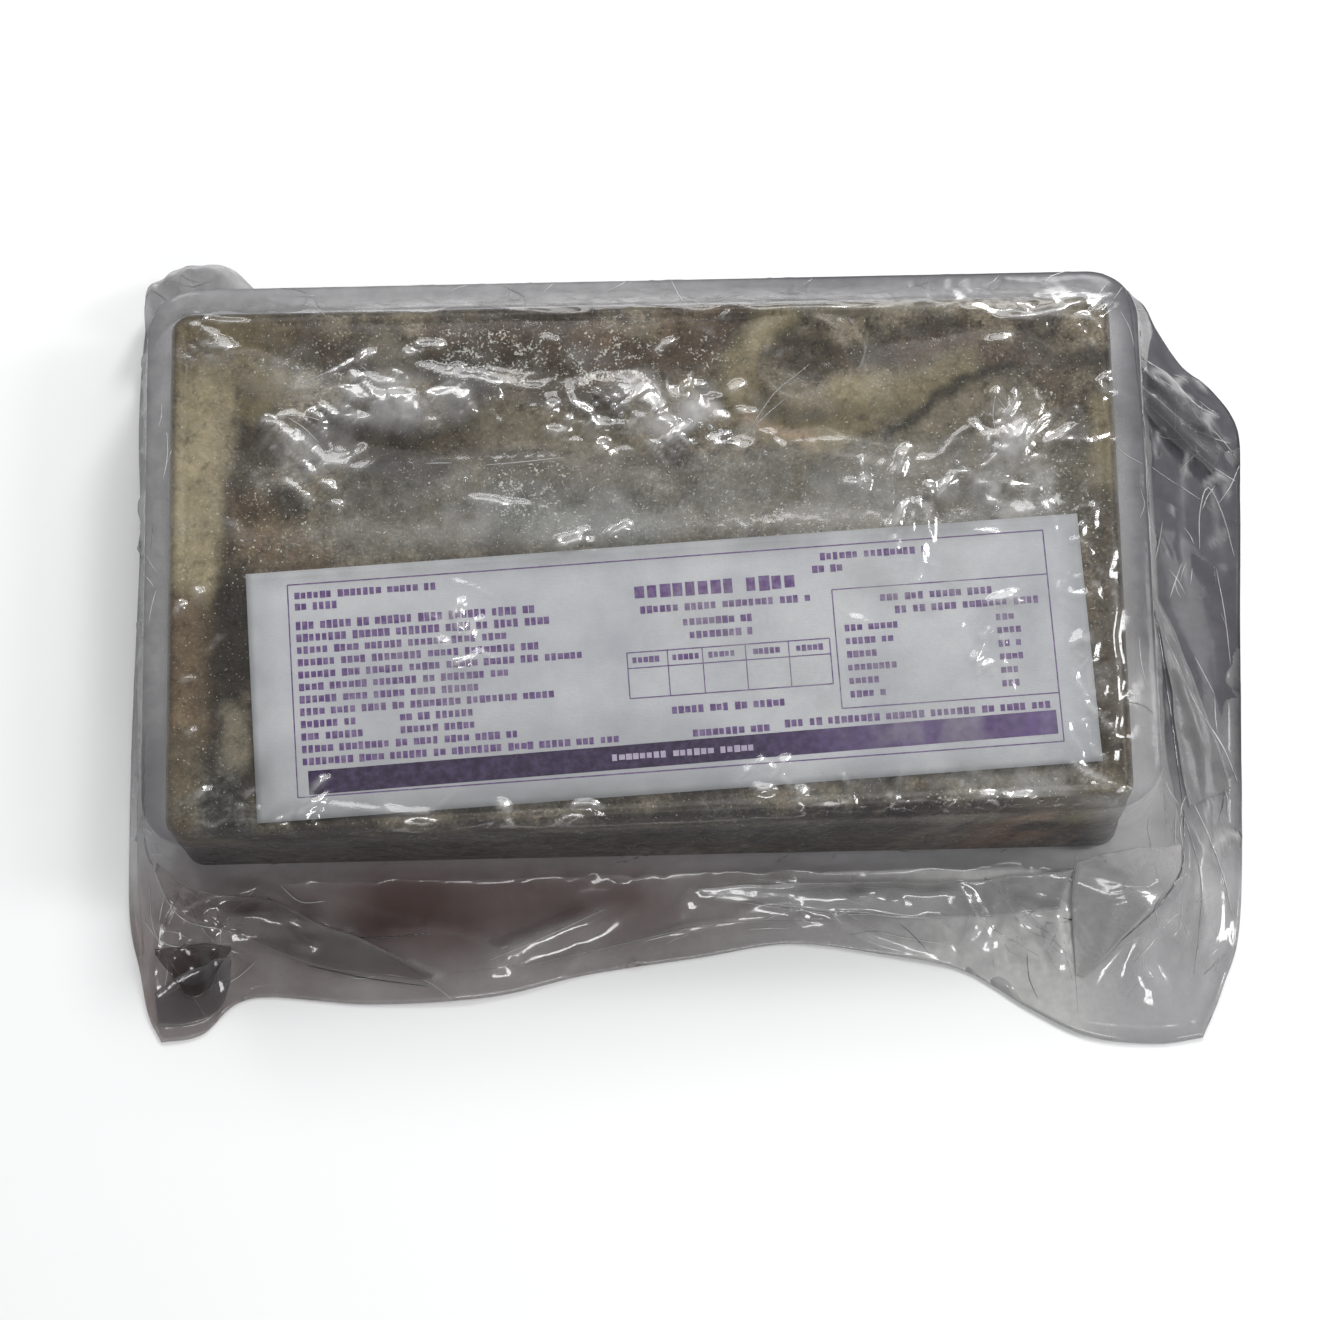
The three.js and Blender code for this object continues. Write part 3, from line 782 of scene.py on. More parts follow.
# Raised folds in the loose film: line, height, half width.
FOLDS = [
    ([(-7, -98), (-38, -109), (-55, -116)], 3.2, 7),
    ([(-146, -84), (-140, -91), (-130, -97), (-121, -100), (-100, -101)], 2.8, 6),
    ([(-142, -88), (-147, -100), (-153, -126)], 3.9, 7),
    ([(-138, -90), (-132, -108), (-129, -126)], 3.2, 6),
    ([(20, -92), (51, -97), (88, -97), (97, -104), (101, -118)], 2.8, 7),
    ([(55, -99), (79, -113), (90, -115)], 2.4, 6),
    ([(104, -98), (120, -104), (124, -122)], 3.2, 6),
    ([(158, -66), (156, -92), (149, -105), (126, -128)], 3.9, 8),
    ([(159, -67), (166, -82), (166, -108), (162, -124)], 2.8, 7),
    ([(147, -107), (145, -119), (152, -132)], 2.8, 7),
    ([(157, -16), (178, -68)], 1.0, 8),
    ([(158, 20), (182, -2)], 0.8, 8),
    ([(154, 68), (168, 52), (181, 43)], 5.5, 8),
    ([(154, 62), (168, 44), (182, 30)], 4.4, 7),
]
# The tail of film at the left back corner: its line, height and half width.
EAR = ([(-148, 91), (-138, 96.5), (-129, 96)], 29, 11)

# Narrow creases in the loose film: line, height, half width.
LOOSE_CREASES = [
    ([(-62, -87.5), (-38, -87), (-14, -88), (6, -88.5)], 0.6, 2.2),
    ([(20, -91), (42, -90), (58, -91.5)], 0.5, 1.8),
    ([(66, -89), (92, -91), (118, -89), (141, -85)], 0.5, 2.0),
    ([(-96, -92), (-60, -104), (-34, -116)], 0.8, 1.8),
    ([(-128, -93), (-100, -101), (-67, -117)], 0.7, 1.8),
    ([(-134, -88), (-139, -104), (-146, -124)], 0.8, 2.0),
    ([(-153, -98), (-140, -103), (-128, -104)], 0.7, 1.8),
    ([(-150, -124), (-138, -112), (-132, -98)], 0.7, 1.8),
    ([(-20, -112), (12, -104), (44, -101)], 0.7, 1.8),
    ([(146, -90), (138, -104), (131, -126)], 0.8, 1.8),
    ([(157, -86), (154, -98), (140, -114), (128, -128)], 0.8, 1.8),
    ([(172, -60), (166, -90), (160, -110), (158, -132)], 0.8, 2.0),
    ([(51, -96), (75, -96), (94, -98), (97, -103), (94, -110), (102, -119)], 0.9, 2.2),
    ([(52, -98), (57, -104), (79, -113), (90, -115)], 0.9, 2.2),
    ([(109, -105), (120, -104), (124, -122)], 0.9, 2.2),
    ([(109, -110), (116, -115), (118, -123)], 0.9, 2.0),
    ([(106, -116), (117, -123)], 0.8, 2.0),
    ([(113, -88), (117, -101)], 0.8, 2.0),
    ([(176, -101), (166, -121), (161, -134)], 0.9, 2.4),
    ([(166, -82), (166, -108), (162, -120)], 0.9, 2.2),
    ([(147, -107), (145, -119), (142, -128)], 0.8, 2.2),
    ([(153, 66), (163, 55), (168, 48), (182, 43)], 1.0, 2.4),
    ([(155, 63), (163, 62), (172, 52)], 0.9, 2.2),
    ([(168, 44), (180, 35)], 0.9, 2.2),
    ([(175, 35), (178, 18), (177, 2)], 0.4, 2.2),
    ([(179, 36), (182, 20)], 0.5, 2.0),
    ([(169, 45), (167, 30), (166, 8), (168, -20)], 0.35, 2.0),
    ([(160, -20), (167, -52), (170, -80)], 0.5, 2.0),
    ([(-118, -90), (-112, -95), (-104, -99)], 0.9, 2.2),
    ([(-112, -89), (-100, -90)], 0.8, 2.0),
    ([(-146, -92), (-147, -100), (-150, -110)], 0.9, 2.2),
    ([(-149, -107), (-142, -110), (-136, -116)], 0.9, 2.2),
    ([(-141, -111), (-128, -105), (-118, -103)], 0.8, 2.2),
    ([(13, -92), (9, -98), (10, -104)], 0.9, 2.2),
    ([(22, -102), (31, -100), (48, -100)], 0.8, 2.2),
    ([(-53, -117), (-32, -120)], 0.8, 2.4),
    ([(-39, -117), (-18, -113)], 0.8, 2.4),
    ([(-89, -105), (-67, -103), (-50, -104)], 0.7, 2.4),
]

# Sharp creases in the film over the slab: line, height, half width.
CREASES = [
    ([(-104, 44), (-95, 40), (-93, 37)], 1.0, 1.6),
    ([(-94, 55), (-86, 60), (-77, 54), (-67, 55)], 1.0, 2.0),
    ([(-29, 42), (-24, 35), (-15, 33), (-11, 41)], 1.1, 1.8),
    ([(-7, 40), (-3, 39), (0, 42), (4, 41), (8, 36), (14, 33)], 1.2, 2.0),
    ([(-53, 17), (-33, 14)], 1.0, 1.5),
    ([(100, 68), (118, 69), (135, 74)], 1.3, 2.4),
    ([(76, 18), (79, 9), (76, -3), (71, -12)], 1.1, 1.8),
    ([(82, 20), (84, 9), (82, 0)], 1.0, 1.6),
    ([(103, 35), (103, 42), (104, 46), (109, 38)], 0.9, 1.6),
    ([(136, 14), (135, -20), (134, -45), (132, -71)], 1.3, 2.4),
    ([(22, -73), (32, -61), (44, -72)], 1.0, 1.6),
    ([(66, -70), (77, -77), (93, -70)], 1.1, 1.8),
    ([(119, -60), (125, -66), (136, -72)], 1.3, 2.4),
    ([(124, -80), (132, -76)], 1.1, 1.6),
    ([(-135, -51), (-129, -48)], 1.1, 1.6),
    ([(-137, 67), (-128, 63), (-122, 66)], 1.1, 1.8),
    ([(-92, 76), (-56, 75.5), (-10, 74.5)], 1.1, 1.6),
    ([(-10, 75), (40, 74), (80, 73.5)], 0.7, 1.4),
]

# Pleated sheets of film with sharp borders: corners, and the slope of the pleats along X and Y.
PANES = [
    ([(-80, 46), (-76, 51), (-67, 51), (-65, 44), (-66, 39), (-72, 38)], (-0.12, -0.18)),
    ([(-75, 50), (-68, 49.5), (-67, 45), (-73, 43)], (-0.26, -0.22)),
    ([(-64, 50), (-60, 52.5), (-52, 55), (-50, 48), (-54, 43.5), (-60, 43)], (-0.04, -0.17)),
    ([(-58, 46), (-53, 51), (-51, 47), (-55, 44)], (-0.24, -0.2)),
    ([(-48, 55), (-41, 53.5), (-41, 46.5), (-46, 46)], (-0.2, -0.2)),
    ([(-109, 41), (-101, 39.5), (-95, 33.5), (-103, 34.5)], (-0.25, -0.26)),
    ([(-110, 35.5), (-105, 34.5), (-94, 26), (-102, 25)], (-0.2, -0.22)),
    ([(-95, 24.5), (-89, 24.5), (-88, 19.5), (-95, 20)], (-0.22, -0.22)),
    ([(-87, 58), (-84, 61), (-81, 55), (-86, 53.5)], (-0.2, -0.24)),
    ([(-103, 27), (-97, 25), (-97, 20), (-102, 22)], (-0.1, -0.15)),
    ([(-92, 43), (-84, 46), (-78, 43), (-86, 39.5)], (-0.08, -0.24)),
    ([(-89, 52), (-81, 54.5), (-77, 49), (-85, 46)], (-0.2, -0.22)),
    ([(-76, 57.5), (-70, 58), (-68, 53), (-74, 52)], (-0.1, -0.16)),
    ([(-100, 44), (-94, 48), (-89, 44), (-94, 40)], (-0.2, -0.24)),
    ([(-66, 42.5), (-60, 43), (-58, 38), (-64, 37)], (-0.15, -0.2)),
    ([(-18, 38), (-14, 42.5), (-11, 38), (-14, 33), (-18, 33)], (-0.12, -0.18)),
    ([(6, 38.5), (10, 37.5), (15, 33), (10, 31.5)], (-0.18, -0.22)),
    ([(4, 36), (7, 35.5), (12, 29.5), (8, 28.5)], (-0.2, -0.22)),
    ([(0, 34.5), (3, 34.5), (6, 29.5), (3, 29)], (-0.2, -0.22)),
    ([(-7, 51.5), (-3, 51), (-2.5, 47.5), (-5, 46.5)], (-0.18, -0.22)),
    ([(20, 36), (26, 36.5), (23, 32), (20, 30)], (-0.12, -0.2)),
    ([(134, 50), (139, 53), (139, 46), (134.5, 42.5)], (-0.12, -0.2)),
    ([(104, 20.5), (109, 21), (112, 17.5), (106, 15.5)], (-0.1, -0.2)),
    ([(97, 17.5), (103, 17.5), (106, 11.5), (100, 12)], (-0.05, -0.14)),
]
PLEAT = 4.2  # from one pleat to the next

# Soft low folds, most of them over the label: line, height, half width.
STREAKS = [
    ([(-104, -70), (-90, -72), (-74, -74), (-56, -75)], 0.9, 2.6),
    ([(-70, -14), (-58, -20), (-48, -24)], 0.45, 3.0),
    ([(-66, -22), (-52, -27), (-40, -33)], 0.5, 3.4),
    ([(-58, -32), (-48, -35), (-36, -36)], 0.4, 2.8),
    ([(-60, -6), (-50, -9), (-42, -14)], 0.4, 2.6),
    ([(-54, 18), (-42, 16.5), (-31, 15)], 0.7, 2.4),
    ([(64, 30), (64, 20), (62, 12)], 0.9, 2.6),
    ([(79, 22), (82, 8), (80, -4), (76, -12)], 0.9, 2.6),
    ([(88, -16), (92, -28), (96, -42)], 0.6, 3.0),
    ([(104, -20), (102, -34), (106, -46)], 0.6, 2.8),
    ([(52, -14), (58, -20), (70, -24)], 0.4, 3.0),
    ([(-82, 50), (-76, 48), (-68, 49)], 1.2, 4.5),
    ([(-64, 46), (-56, 50), (-50, 47)], 1.0, 4.0),
    ([(100, 22), (108, 26), (114, 20)], 1.0, 5.0),
]

# Clusters of short creases: middle, reach along X and Y, usual direction in degrees, how many.
CLUSTERS = [
    ((-101, 32), (12, 13), -40, 9), ((-78, 52), (13, 9), 20, 7), ((-54, 51), (10, 9), -70, 7),
    ((-19, 42), (12, 9), -35, 14), ((14, 42), (18, 10), -40, 24), ((64, 22), (5, 9), 80, 5),
    ((78, 4), (8, 17), 75, 9), ((106, 26), (10, 14), 70, 20), ((118, 36), (12, 8), 30, 6),
    ((118, 68), (18, 6), -10, 7), ((126, -10), (9, 24), 80, 16), ((128, -58), (8, 18), 70, 14),
    ((98, -30), (12, 14), 50, 8), ((80, -74), (44, 4), 10, 14), ((25, -70), (10, 5), 50, 5),
    ((-20, 3), (9, 4), 10, 5), ((-58, -26), (12, 10), 40, 5), ((-112, -74), (14, 4), 30, 7),
    ((-133, 70), (7, 6), -30, 8), ((-131, -40), (6, 36), 70, 7), ((-60, -76), (40, 3), 5, 6),
    ((-20, 62), (60, 8), 20, 5),
]
FINER_FROM = 85  # from here to the right the short creases are finer
LOOSE_CLUSTERS = [
    ((50, -91), (75, 3), 0, 16), ((108, -98), (12, 11), -50, 15), ((94, -110), (10, 5), -30, 8),
    ((122, -106), (6, 15), 70, 10), ((62, -100), (24, 7), -15, 8), ((150, -115), (12, 14), 60, 7),
    ((169, -100), (7, 30), 70, 10), ((166, 28), (10, 26), 60, 10), ((168, 58), (8, 8), -40, 6),
    ((-147, -102), (7, 14), 50, 9), ((-120, -100), (18, 6), -20, 7), ((-30, -116), (24, 5), 20, 5),
    ((153, -30), (3, 50), 88, 7), ((-136, 94), (12, 5), 10, 4),
]

# Where the film over the slab is slack: middle, reach along X and Y, strength.
CRUMPLED = [
    ((-96, 34), (24, 20), 1.0), ((-60, 50), (34, 14), 1.0), ((0, 42), (42, 14), 1.0),
    ((108, 20), (22, 28), 0.9), ((78, 5), (14, 26), 0.7), ((115, 72), (32, 6), 0.4),
    ((70, -72), (60, 10), 0.8), ((128, -40), (14, 46), 0.9), ((-125, -76), (16, 12), 0.6),
    ((-128, 66), (16, 10), 0.6), ((95, -25), (40, 22), 0.4), ((-60, -74), (50, 8), 0.5),
]

# The label's own film: from this line forward the slab is under a second, milky layer.
SLEEVE_EDGE = [(-90, 27), (-64, 30), (-23, 31), (29, 33), (108, 35), (118, 34)]
SLEEVE_ENDS = (-92, 121)

# How milky the film is over the label and the slab, partly haze and partly a painted sheen over the
# crumpled patches: middle, reach along X and Y, strength.
MILK_AND_SHEEN_SPOTS = [
    ((78, -8), (26, 12), 0.5), ((20, -22), (22, 14), 0.35), ((60, -38), (40, 12), 0.3),
    ((-60, -36), (30, 16), 0.2), ((108, -25), (14, 26), 0.3), ((86, -50), (36, 12), 0.3),
    ((100, -68), (40, 12), 0.4), ((-74, 48), (22, 11), 0.7), ((8, 50), (18, 8), 0.7),
    ((-30, 14), (60, 12), 0.35), ((60, 16), (60, 12), 0.3), ((-96, 60), (30, 14), 0.25),
    ((108, 18), (16, 12), 0.9), ((16, 42), (22, 10), 0.8), ((-70, 49), (26, 9), 0.45),
    ((114, 34), (17, 11), 0.85), ((-96, 34), (16, 10), 0.4), ((-30, 60), (26, 8), 0.3),
]

# Painted sheen: pale soft streaks along folds of the loose film, where they would catch the light:
# line, milkiness, half width.
SHEEN_STREAKS = [
    ([(-10, -97.5), (-30, -105), (-50, -114.5)], 0.5, 3.2),
    ([(-24, -101), (-40, -109), (-52, -116)], 0.3, 5.5),
    ([(-76, -113), (-68, -117), (-62, -119)], 0.4, 3.0),
    ([(-93, -103), (-90, -107)], 0.25, 4.0),
    ([(155, -12), (161, -26), (167, -40), (175, -53), (179, -64)], 0.15, 4.0),
    ([(160, 20), (163, -10), (166, -45)], 0.12, 9.0),
    ([(152, 72), (166, 56), (182, 44)], 0.25, 7.0),
]

# What ramps() adds up over the bag: an amount, then the stretches over which it comes in.
SKIRT_MILK = [
    (0.34,), (0.2, ("x", 30, 80)), (0.2, ("y", -60, 0)), (-0.24, ("x", 128, 143), ("y", -80, -95)),
    (0.3, ("x", 60, 90), ("x", 132, 124), ("y", -85, -93)),
]
SKIRT_SHADE = [(0.4, ("y", -80, -40)), (0.6, ("x", 110, 130), ("y", -105, -75))]
BACK_SHADE = [(0.6, ("y", 70, 85))]
CORNER_SHADE = [(0.2, ("x", 128, 143), ("y", -92, -104))]
SKIRT_GLOSS = [(0.85,), (-0.5, ("y", 55, 70)), (-0.78, ("x", 148, 158), ("y", -105, -80))]
WALL_MILK = [(0.72,), (-0.66, ("y", -35, -80)), (0.3, ("y", -35, -80), ("x", 130, 150))]
WALL_SHADE = [
    (0.68,), (0.04, ("y", 60, 80)), (0.1, ("x", 0, 20)), (-0.55, ("x", 105, 125), ("y", -30, -60)),
]
WALL_GLOSS = [(1.0,), (-0.75, ("y", -35, -80))]
EAR_COVER = [(1.0, ("x", -110, -125), ("y", 84, 90))]
EAR_MILK, EAR_SHADE = 0.52, 0.26
SHADOW_MIDDLE, SHADOW_REACH = -62, 95  # the painted shadow in front of the slab, along X
LEAST_GLOSS, MOST_MILK = 0.06, 0.95

# Crumpled film as flat triangles: height, size and seed of each layer.
SLACK_FACETS = [(1.6, 17, 101), (0.8, 8, 103)]
ROUGH_FACETS = [(0.9, 38, 111), (0.25, 15, 113)]
MOST_CREASE, MOST_LOOSE_CREASE = 1.7, 1.6


def cluster_creases(clusters, seed):
    """The creases of every cluster, each a short bent line of its own height and half width."""
    rng = np.random.default_rng(seed)
    made = []
    for (cx, cy), (rx, ry), turn, count in clusters:
        for _ in range(count):
            x, y = cx + rx * rng.uniform(-1, 1), cy + ry * rng.uniform(-1, 1)
            angle = math.radians(turn + rng.normal(0, 24))
            step = rng.uniform(1.6, 5.0)
            line = [(x, y)]
            for _ in range(3):
                x, y = x + step * math.cos(angle), y + step * math.sin(angle)
                line.append((x, y))
                angle += rng.normal(0, 0.5)
            half = rng.uniform(1.2, 3.0) * (0.72 if cx > FINER_FROM else 1)
            made.append((line, half * rng.uniform(0.25, 0.75), half))
    return made


def tents(x, y, lines, seed=91):
    """Sharp-crested ridges along lines, each fading out at its ends."""
    wx = x + 2.6 * (cloud(x, y, 9, seed) - 0.5)
    wy = y + 2.6 * (cloud(x, y, 9, seed + 1) - 0.5)
    rise = np.zeros(np.shape(x))
    for line, height, half in lines:
        d, t = line_distance(wx, wy, line)
        fade = ease(3 * t) * ease(3 * (1 - t)) * 0.95 + 0.05
        rise = np.maximum(rise, height * fade * np.clip(1 - d / half, 0, 1))
    return rise


def swells(x, y, lines):
    """Round-crested folds along lines, each running out at its ends."""
    rise = np.zeros(np.shape(x))
    for line, height, half in lines:
        d, t = line_distance(x, y, line)
        fade = ease(4 * t) * ease(4 * (1 - t)) * 0.8 + 0.2
        rise = np.maximum(rise, height * fade * bell(d / half))
    return rise


def panes(x, y):
    """Sheets in narrow pleats, each pleat a slope and a sharp drop behind it."""
    rise = np.zeros(np.shape(x))
    wander = 2.4 * (clouds(x, y, 9, 145, 2) - 0.5)
    for corners, (slope_x, slope_y) in PANES:
        slope = math.hypot(slope_x, slope_y)
        downhill = -(x * slope_x + y * slope_y) / slope + wander
        inside = np.full(np.shape(x), np.inf)
        for (ax, ay), (bx, by) in zip(corners, corners[1:] + corners[:1]):
            across = ((y - ay) * (bx - ax) - (x - ax) * (by - ay)) / math.hypot(bx - ax, by - ay)
            inside = np.minimum(inside, -across)
        sheet = 0.2 + slope * (PLEAT - downhill % PLEAT)
        rise = np.maximum(rise, sheet * np.clip(inside + 0.3, 0, 1))
    return rise


def under_sleeve(x, y):
    """1 where the second layer of film lies, 0 elsewhere, with a crisp edge."""
    edge = np.interp(x, *np.array(SLEEVE_EDGE, float).T) + 0.8 * (cloud(x, y, 30, 141) - 0.5)
    left, right = SLEEVE_ENDS
    return ease((edge - y) / 2.5 + 0.5) * ramp(x, left, left + 3) * ramp(x, right, right - 3)


def ridges(x, y, size, height, seed):
    """A net of sharp-crested folds with hollow flanks."""
    rise = np.abs(2 * clouds(x, y, size, seed, 2) - 1)
    return height * np.clip(1 - 2.6 * rise, 0, 1) ** 2


def label_cover(x, y):
    """1 over the label, fading out in a few millimetres round it."""
    c, s = math.cos(LABEL_TURN), math.sin(LABEL_TURN)
    x, y = x - LABEL_CENTRE[0], y - LABEL_CENTRE[1]
    past_end = np.maximum(np.abs(x * c + y * s) - LABEL_LENGTH / 2, 0)
    past_side = np.maximum(np.abs(y * c - x * s) - LABEL_WIDTH / 2, 0)
    return 1 - ease(np.hypot(past_end, past_side) / 8)


def layered(x, y, layers):
    """The sum of several layers of facets."""
    return sum(height * facets(x, y, size, seed) for height, size, seed in layers)


def film_over_slab(x, y):
    """Height of the film over the slab's top, and how far it is lifted off, from 0 to 1."""
    slack = np.clip(layered(x, y, SLACK_FACETS), -0.3, 1.4)
    folded = np.maximum(ridges(x, y, 22, 1.6, 105), ridges(x, y, 11, 1.0, 107))
    creases = np.minimum(tents(x, y, CREASES + cluster_creases(CLUSTERS, 12)), MOST_CREASE)
    sheets = panes(x, y)
    creases = np.maximum(creases * (1 - 0.75 * ease(3 * sheets)), sheets) + swells(x, y, STREAKS)
    loose = spots(x, y, CRUMPLED, 0.1) * np.maximum(slack, folded)
    rise = creases + (1 - 0.5 * np.clip(creases, 0, 1)) * loose
    in_label = label_cover(x, y)
    sag = 0.12 * hollow_at(x, y) * (1 - in_label)
    layers = 0.12 * under_sleeve(x, y) + 0.25 * in_label
    height = TOP + FILM_LIFT + layers - sag + rise + 0.1 * facets(x, y, 11, 109)
    return height, ease((rise - 0.35) / 1.4)


def loose_film(x, y, inwards):
    """Height of the loose film, from its free edge at inwards = 0 to the wall's foot at 1,
    and how sharply it is creased there, from 0 to 1."""
    drape = EDGE_TOP + (FOOT_TOP - EDGE_TOP) * inwards**2
    folds = swells(x, y, FOLDS) * (0.35 + 0.65 * np.clip(inwards * 2, 0, 1))
    rough = layered(x, y, ROUGH_FACETS)
    line, height, half = EAR
    ear = height * bell(line_distance(x, y, line)[0] / half)
    ear = ear * (0.9 + 0.2 * clouds(x - 0.4 * y, y, 5, 115, 2))
    creases = tents(x, y, LOOSE_CREASES + cluster_creases(LOOSE_CLUSTERS, 14), 95)
    creases = np.minimum(creases, MOST_LOOSE_CREASE)
    loose = drape + folds + creases + np.maximum(rough, -0.8)
    return np.maximum(loose, ear + 0.5 * rough), ease(creases / 0.9)


def warm_shadow_at(x, y):
    """Painted shadow: how far the loose film is darkened and warmed along the slab's front, where
    the slab shades it, and at the left front corner.
    """
    along = np.exp(-(((x - SHADOW_MIDDLE) / SHADOW_REACH) ** 2))
    near = along * ramp(y, -82, -92) * (1 - 0.6 * ramp(y, -98, -118))
    near = np.maximum(near, 0.55 * ramp(x, -60, -100) * ramp(y, -88, -98))
    return near * (0.55 + 0.7 * clouds(x, y, 20, 151))


def skirt_looks(x, y, inwards, creased, wall_milk):
    """Milkiness, gloss and shade of the loose film round the slab."""
    ear = ramps(x, y, EAR_COVER)
    streaks = 0.5 * (clouds(x - 0.4 * y, 0.4 * y, 4, 163, 3) - 0.5)
    pale = ramps(x, y, SKIRT_MILK)
    pale = pale + (EAR_MILK + streaks - pale) * ear
    milk = pale + 0.2 * (clouds(x, y, 23, 161) - 0.5)
    # Less milky in the painted shadow; the sheen streaks add a painted sheen along folds.
    milk = milk * (1 - 0.6 * warm_shadow_at(x, y)) + 0.12 * creased + swells(x, y, SHEEN_STREAKS)
    milk = milk + (wall_milk - milk) * ramp(x, -100, -130) * inwards**3
    shade = np.maximum(ramps(x, y, SKIRT_SHADE), ramps(x, y, BACK_SHADE)) * (1 - 0.5 * creased)
    shade = np.maximum(shade, ramps(x, y, CORNER_SHADE))
    gloss = np.maximum(ramps(x, y, SKIRT_GLOSS), LEAST_GLOSS) * (1 - 0.6 * inwards**6)
    return {"milk": milk, "gloss": gloss, "shade": shade + (EAR_SHADE - shade) * ear}


def over_slab_looks(x, y, over, lifted):
    """Milkiness and gloss of the film over the slab, with a painted sheen: lifted film and steep
    falls to the back are paler, as if they caught the lights behind.
    """
    step = 0.6
    fall = (over - film_over_slab(x, y + step)[0]) / step
    # Painted sheen: the falls to the back, and the lifted film, are made paler.
    sheen = ramp(fall, 0.12, 0.22) * (0.25 + 0.75 * lifted)
    haze_and_sheen = spots(x, y, MILK_AND_SHEEN_SPOTS) * ramp(clouds(x, y, 9, 165, 4), 0.3, 0.7)
    milk = 0.02 + 0.03 * under_sleeve(x, y) + 0.62 * haze_and_sheen
    milk = milk + (0.12 * lifted + 0.3 * sheen) * (0.3 + 1.2 * clouds(x, y, 6, 169))
    return {"milk": milk, "gloss": 1 + 0.9 * ease(3 * panes(x, y))}


def make_film():
    """The whole bag as one closed skin: over the slab, down its sides, out and back under it.

    Each place has a share of milkiness with painted sheen, gloss, painted warm shadow and shade for
    the material to read."""
    outline = Outline(FILM_SPACING)
    u, v = outline.border_u, outline.border_v
    edge = outline.bag_edge()
    foot = plan(u, v, FOOT, 0)
    for middle, pull, reach in DRAWN_OUT:
        share = ease(1 - np.linalg.norm(foot - middle, axis=1) / reach)
        foot = foot + share[:, None] * np.array(pull)
    rim = plan(u, v, RIM, 1)
    lip = plan(u, v, even(-EDGE_RADIUS + 2), 1)
    outward = foot - rim
    outward /= np.linalg.norm(outward, axis=1)[:, None]
    length = np.concatenate([[0], np.cumsum(np.hypot(*np.diff(foot, axis=0).T))])
    wall_milk, wall_shade, wall_gloss = (
        ramps(*foot.T, terms) for terms in (WALL_MILK, WALL_SHADE, WALL_GLOSS)
    )
    rings = []
    numbers = {"milk": [], "gloss": [], "graze": [], "murk": [], "shade": []}

    def add(plan_points, z, **given):
        rings.append(np.column_stack([plan_points, z]))
        given["murk"] = warm_shadow_at(*plan_points.T)
        for name, values in numbers.items():
            values.append(np.broadcast_to(given.get(name, 0.0), len(z)).astype(float))

    # underneath, from the middle out to the free edge
    for share in UNDER_RINGS:
        here = lip * (1 - share) + edge * share
        lift = 1.5 * ramp(share, 0.6, 1.0) * cloud(*here.T, 26, 121)
        add(here, UNDER_FILM + lift, milk=0.2, gloss=0.3)
    # the loose film, from the free edge in to the wall's foot
    for k in range(SKIRT_STEPS):
        inwards = k / SKIRT_STEPS
        here = edge * (1 - inwards) + foot * inwards
        z, creased = loose_film(*here.T, inwards)
        add(here, z, **skirt_looks(*here.T, inwards, creased, wall_milk))
    # up the wall, in pleats
    for k in range(WALL_STEPS + 1):
        up = k / WALL_STEPS
        here = foot + (rim - foot) * math.sqrt(up)
        rise = np.full(len(length), 20.0 * up)
        pleat = 0.9 * facets(length, rise, 13, 131) + 0.5 * facets(length + rise, rise, 6, 133)
        pleat = np.maximum(pleat, ridges(length - rise, rise, 11, 1.6, 135))
        swell = 0.35 + 0.9 * math.sin(math.pi * min(1.0, up + 0.12)) ** 0.5
        here = here + outward * (pleat * swell)[:, None]
        foot_z, _ = loose_film(*here.T, 1.0)
        plain = FOOT_TOP + (RIM_TOP - SHOULDER - FOOT_TOP) * up
        z = np.maximum(plain, foot_z * (1 - up) + plain * up)
        drift = ramp(clouds(length, rise, 15, 137), 0.45, 0.7)
        milk = wall_milk * (0.2 + 0.25 * drift + 0.5 * ramp(up, 0.8, 1.0))
        add(here, np.minimum(z, RIM_TOP - SHOULDER), milk=milk, gloss=wall_gloss,
            graze=0.7 * wall_milk, shade=0.3 * wall_shade)
    # over the rim and in to the slab's top edge
    for share in OVER_RINGS:
        here = rim * (1 - share) + lip * share
        over, _ = film_over_slab(*here.T)
        bend = share**0.13
        worn = 1 + 0.5 * (clouds(*here.T, 9, 167) - 0.5)
        milk = wall_milk * (1 - share**2) * worn + 0.04
        shade = (wall_shade + 0.2 * ramp(foot[:, 0], 20, 60)) * (1 - share**2)
        add(here, (RIM_TOP - SHOULDER) * (1 - bend) + over * bend, milk=milk,
            gloss=0.12 + 0.6 * share**6, shade=shade)
    top = np.concatenate([lip, fill_border(lip, outline)[1:-1, 1:-1].reshape(-1, 2)])
    over, lifted = film_over_slab(*top.T)
    add(top, over, **over_slab_looks(*top.T, over, lifted))

    faces = stacked_faces(outline, len(rings))
    film = make_mesh("bag_film", np.concatenate(rings), faces, replaces=["bag"])
    looks = {name: np.maximum(np.concatenate(values), 0) for name, values in numbers.items()}
    looks["milk"] = np.minimum(looks["milk"], MOST_MILK)
    set_numbers(film, **looks)
    return film
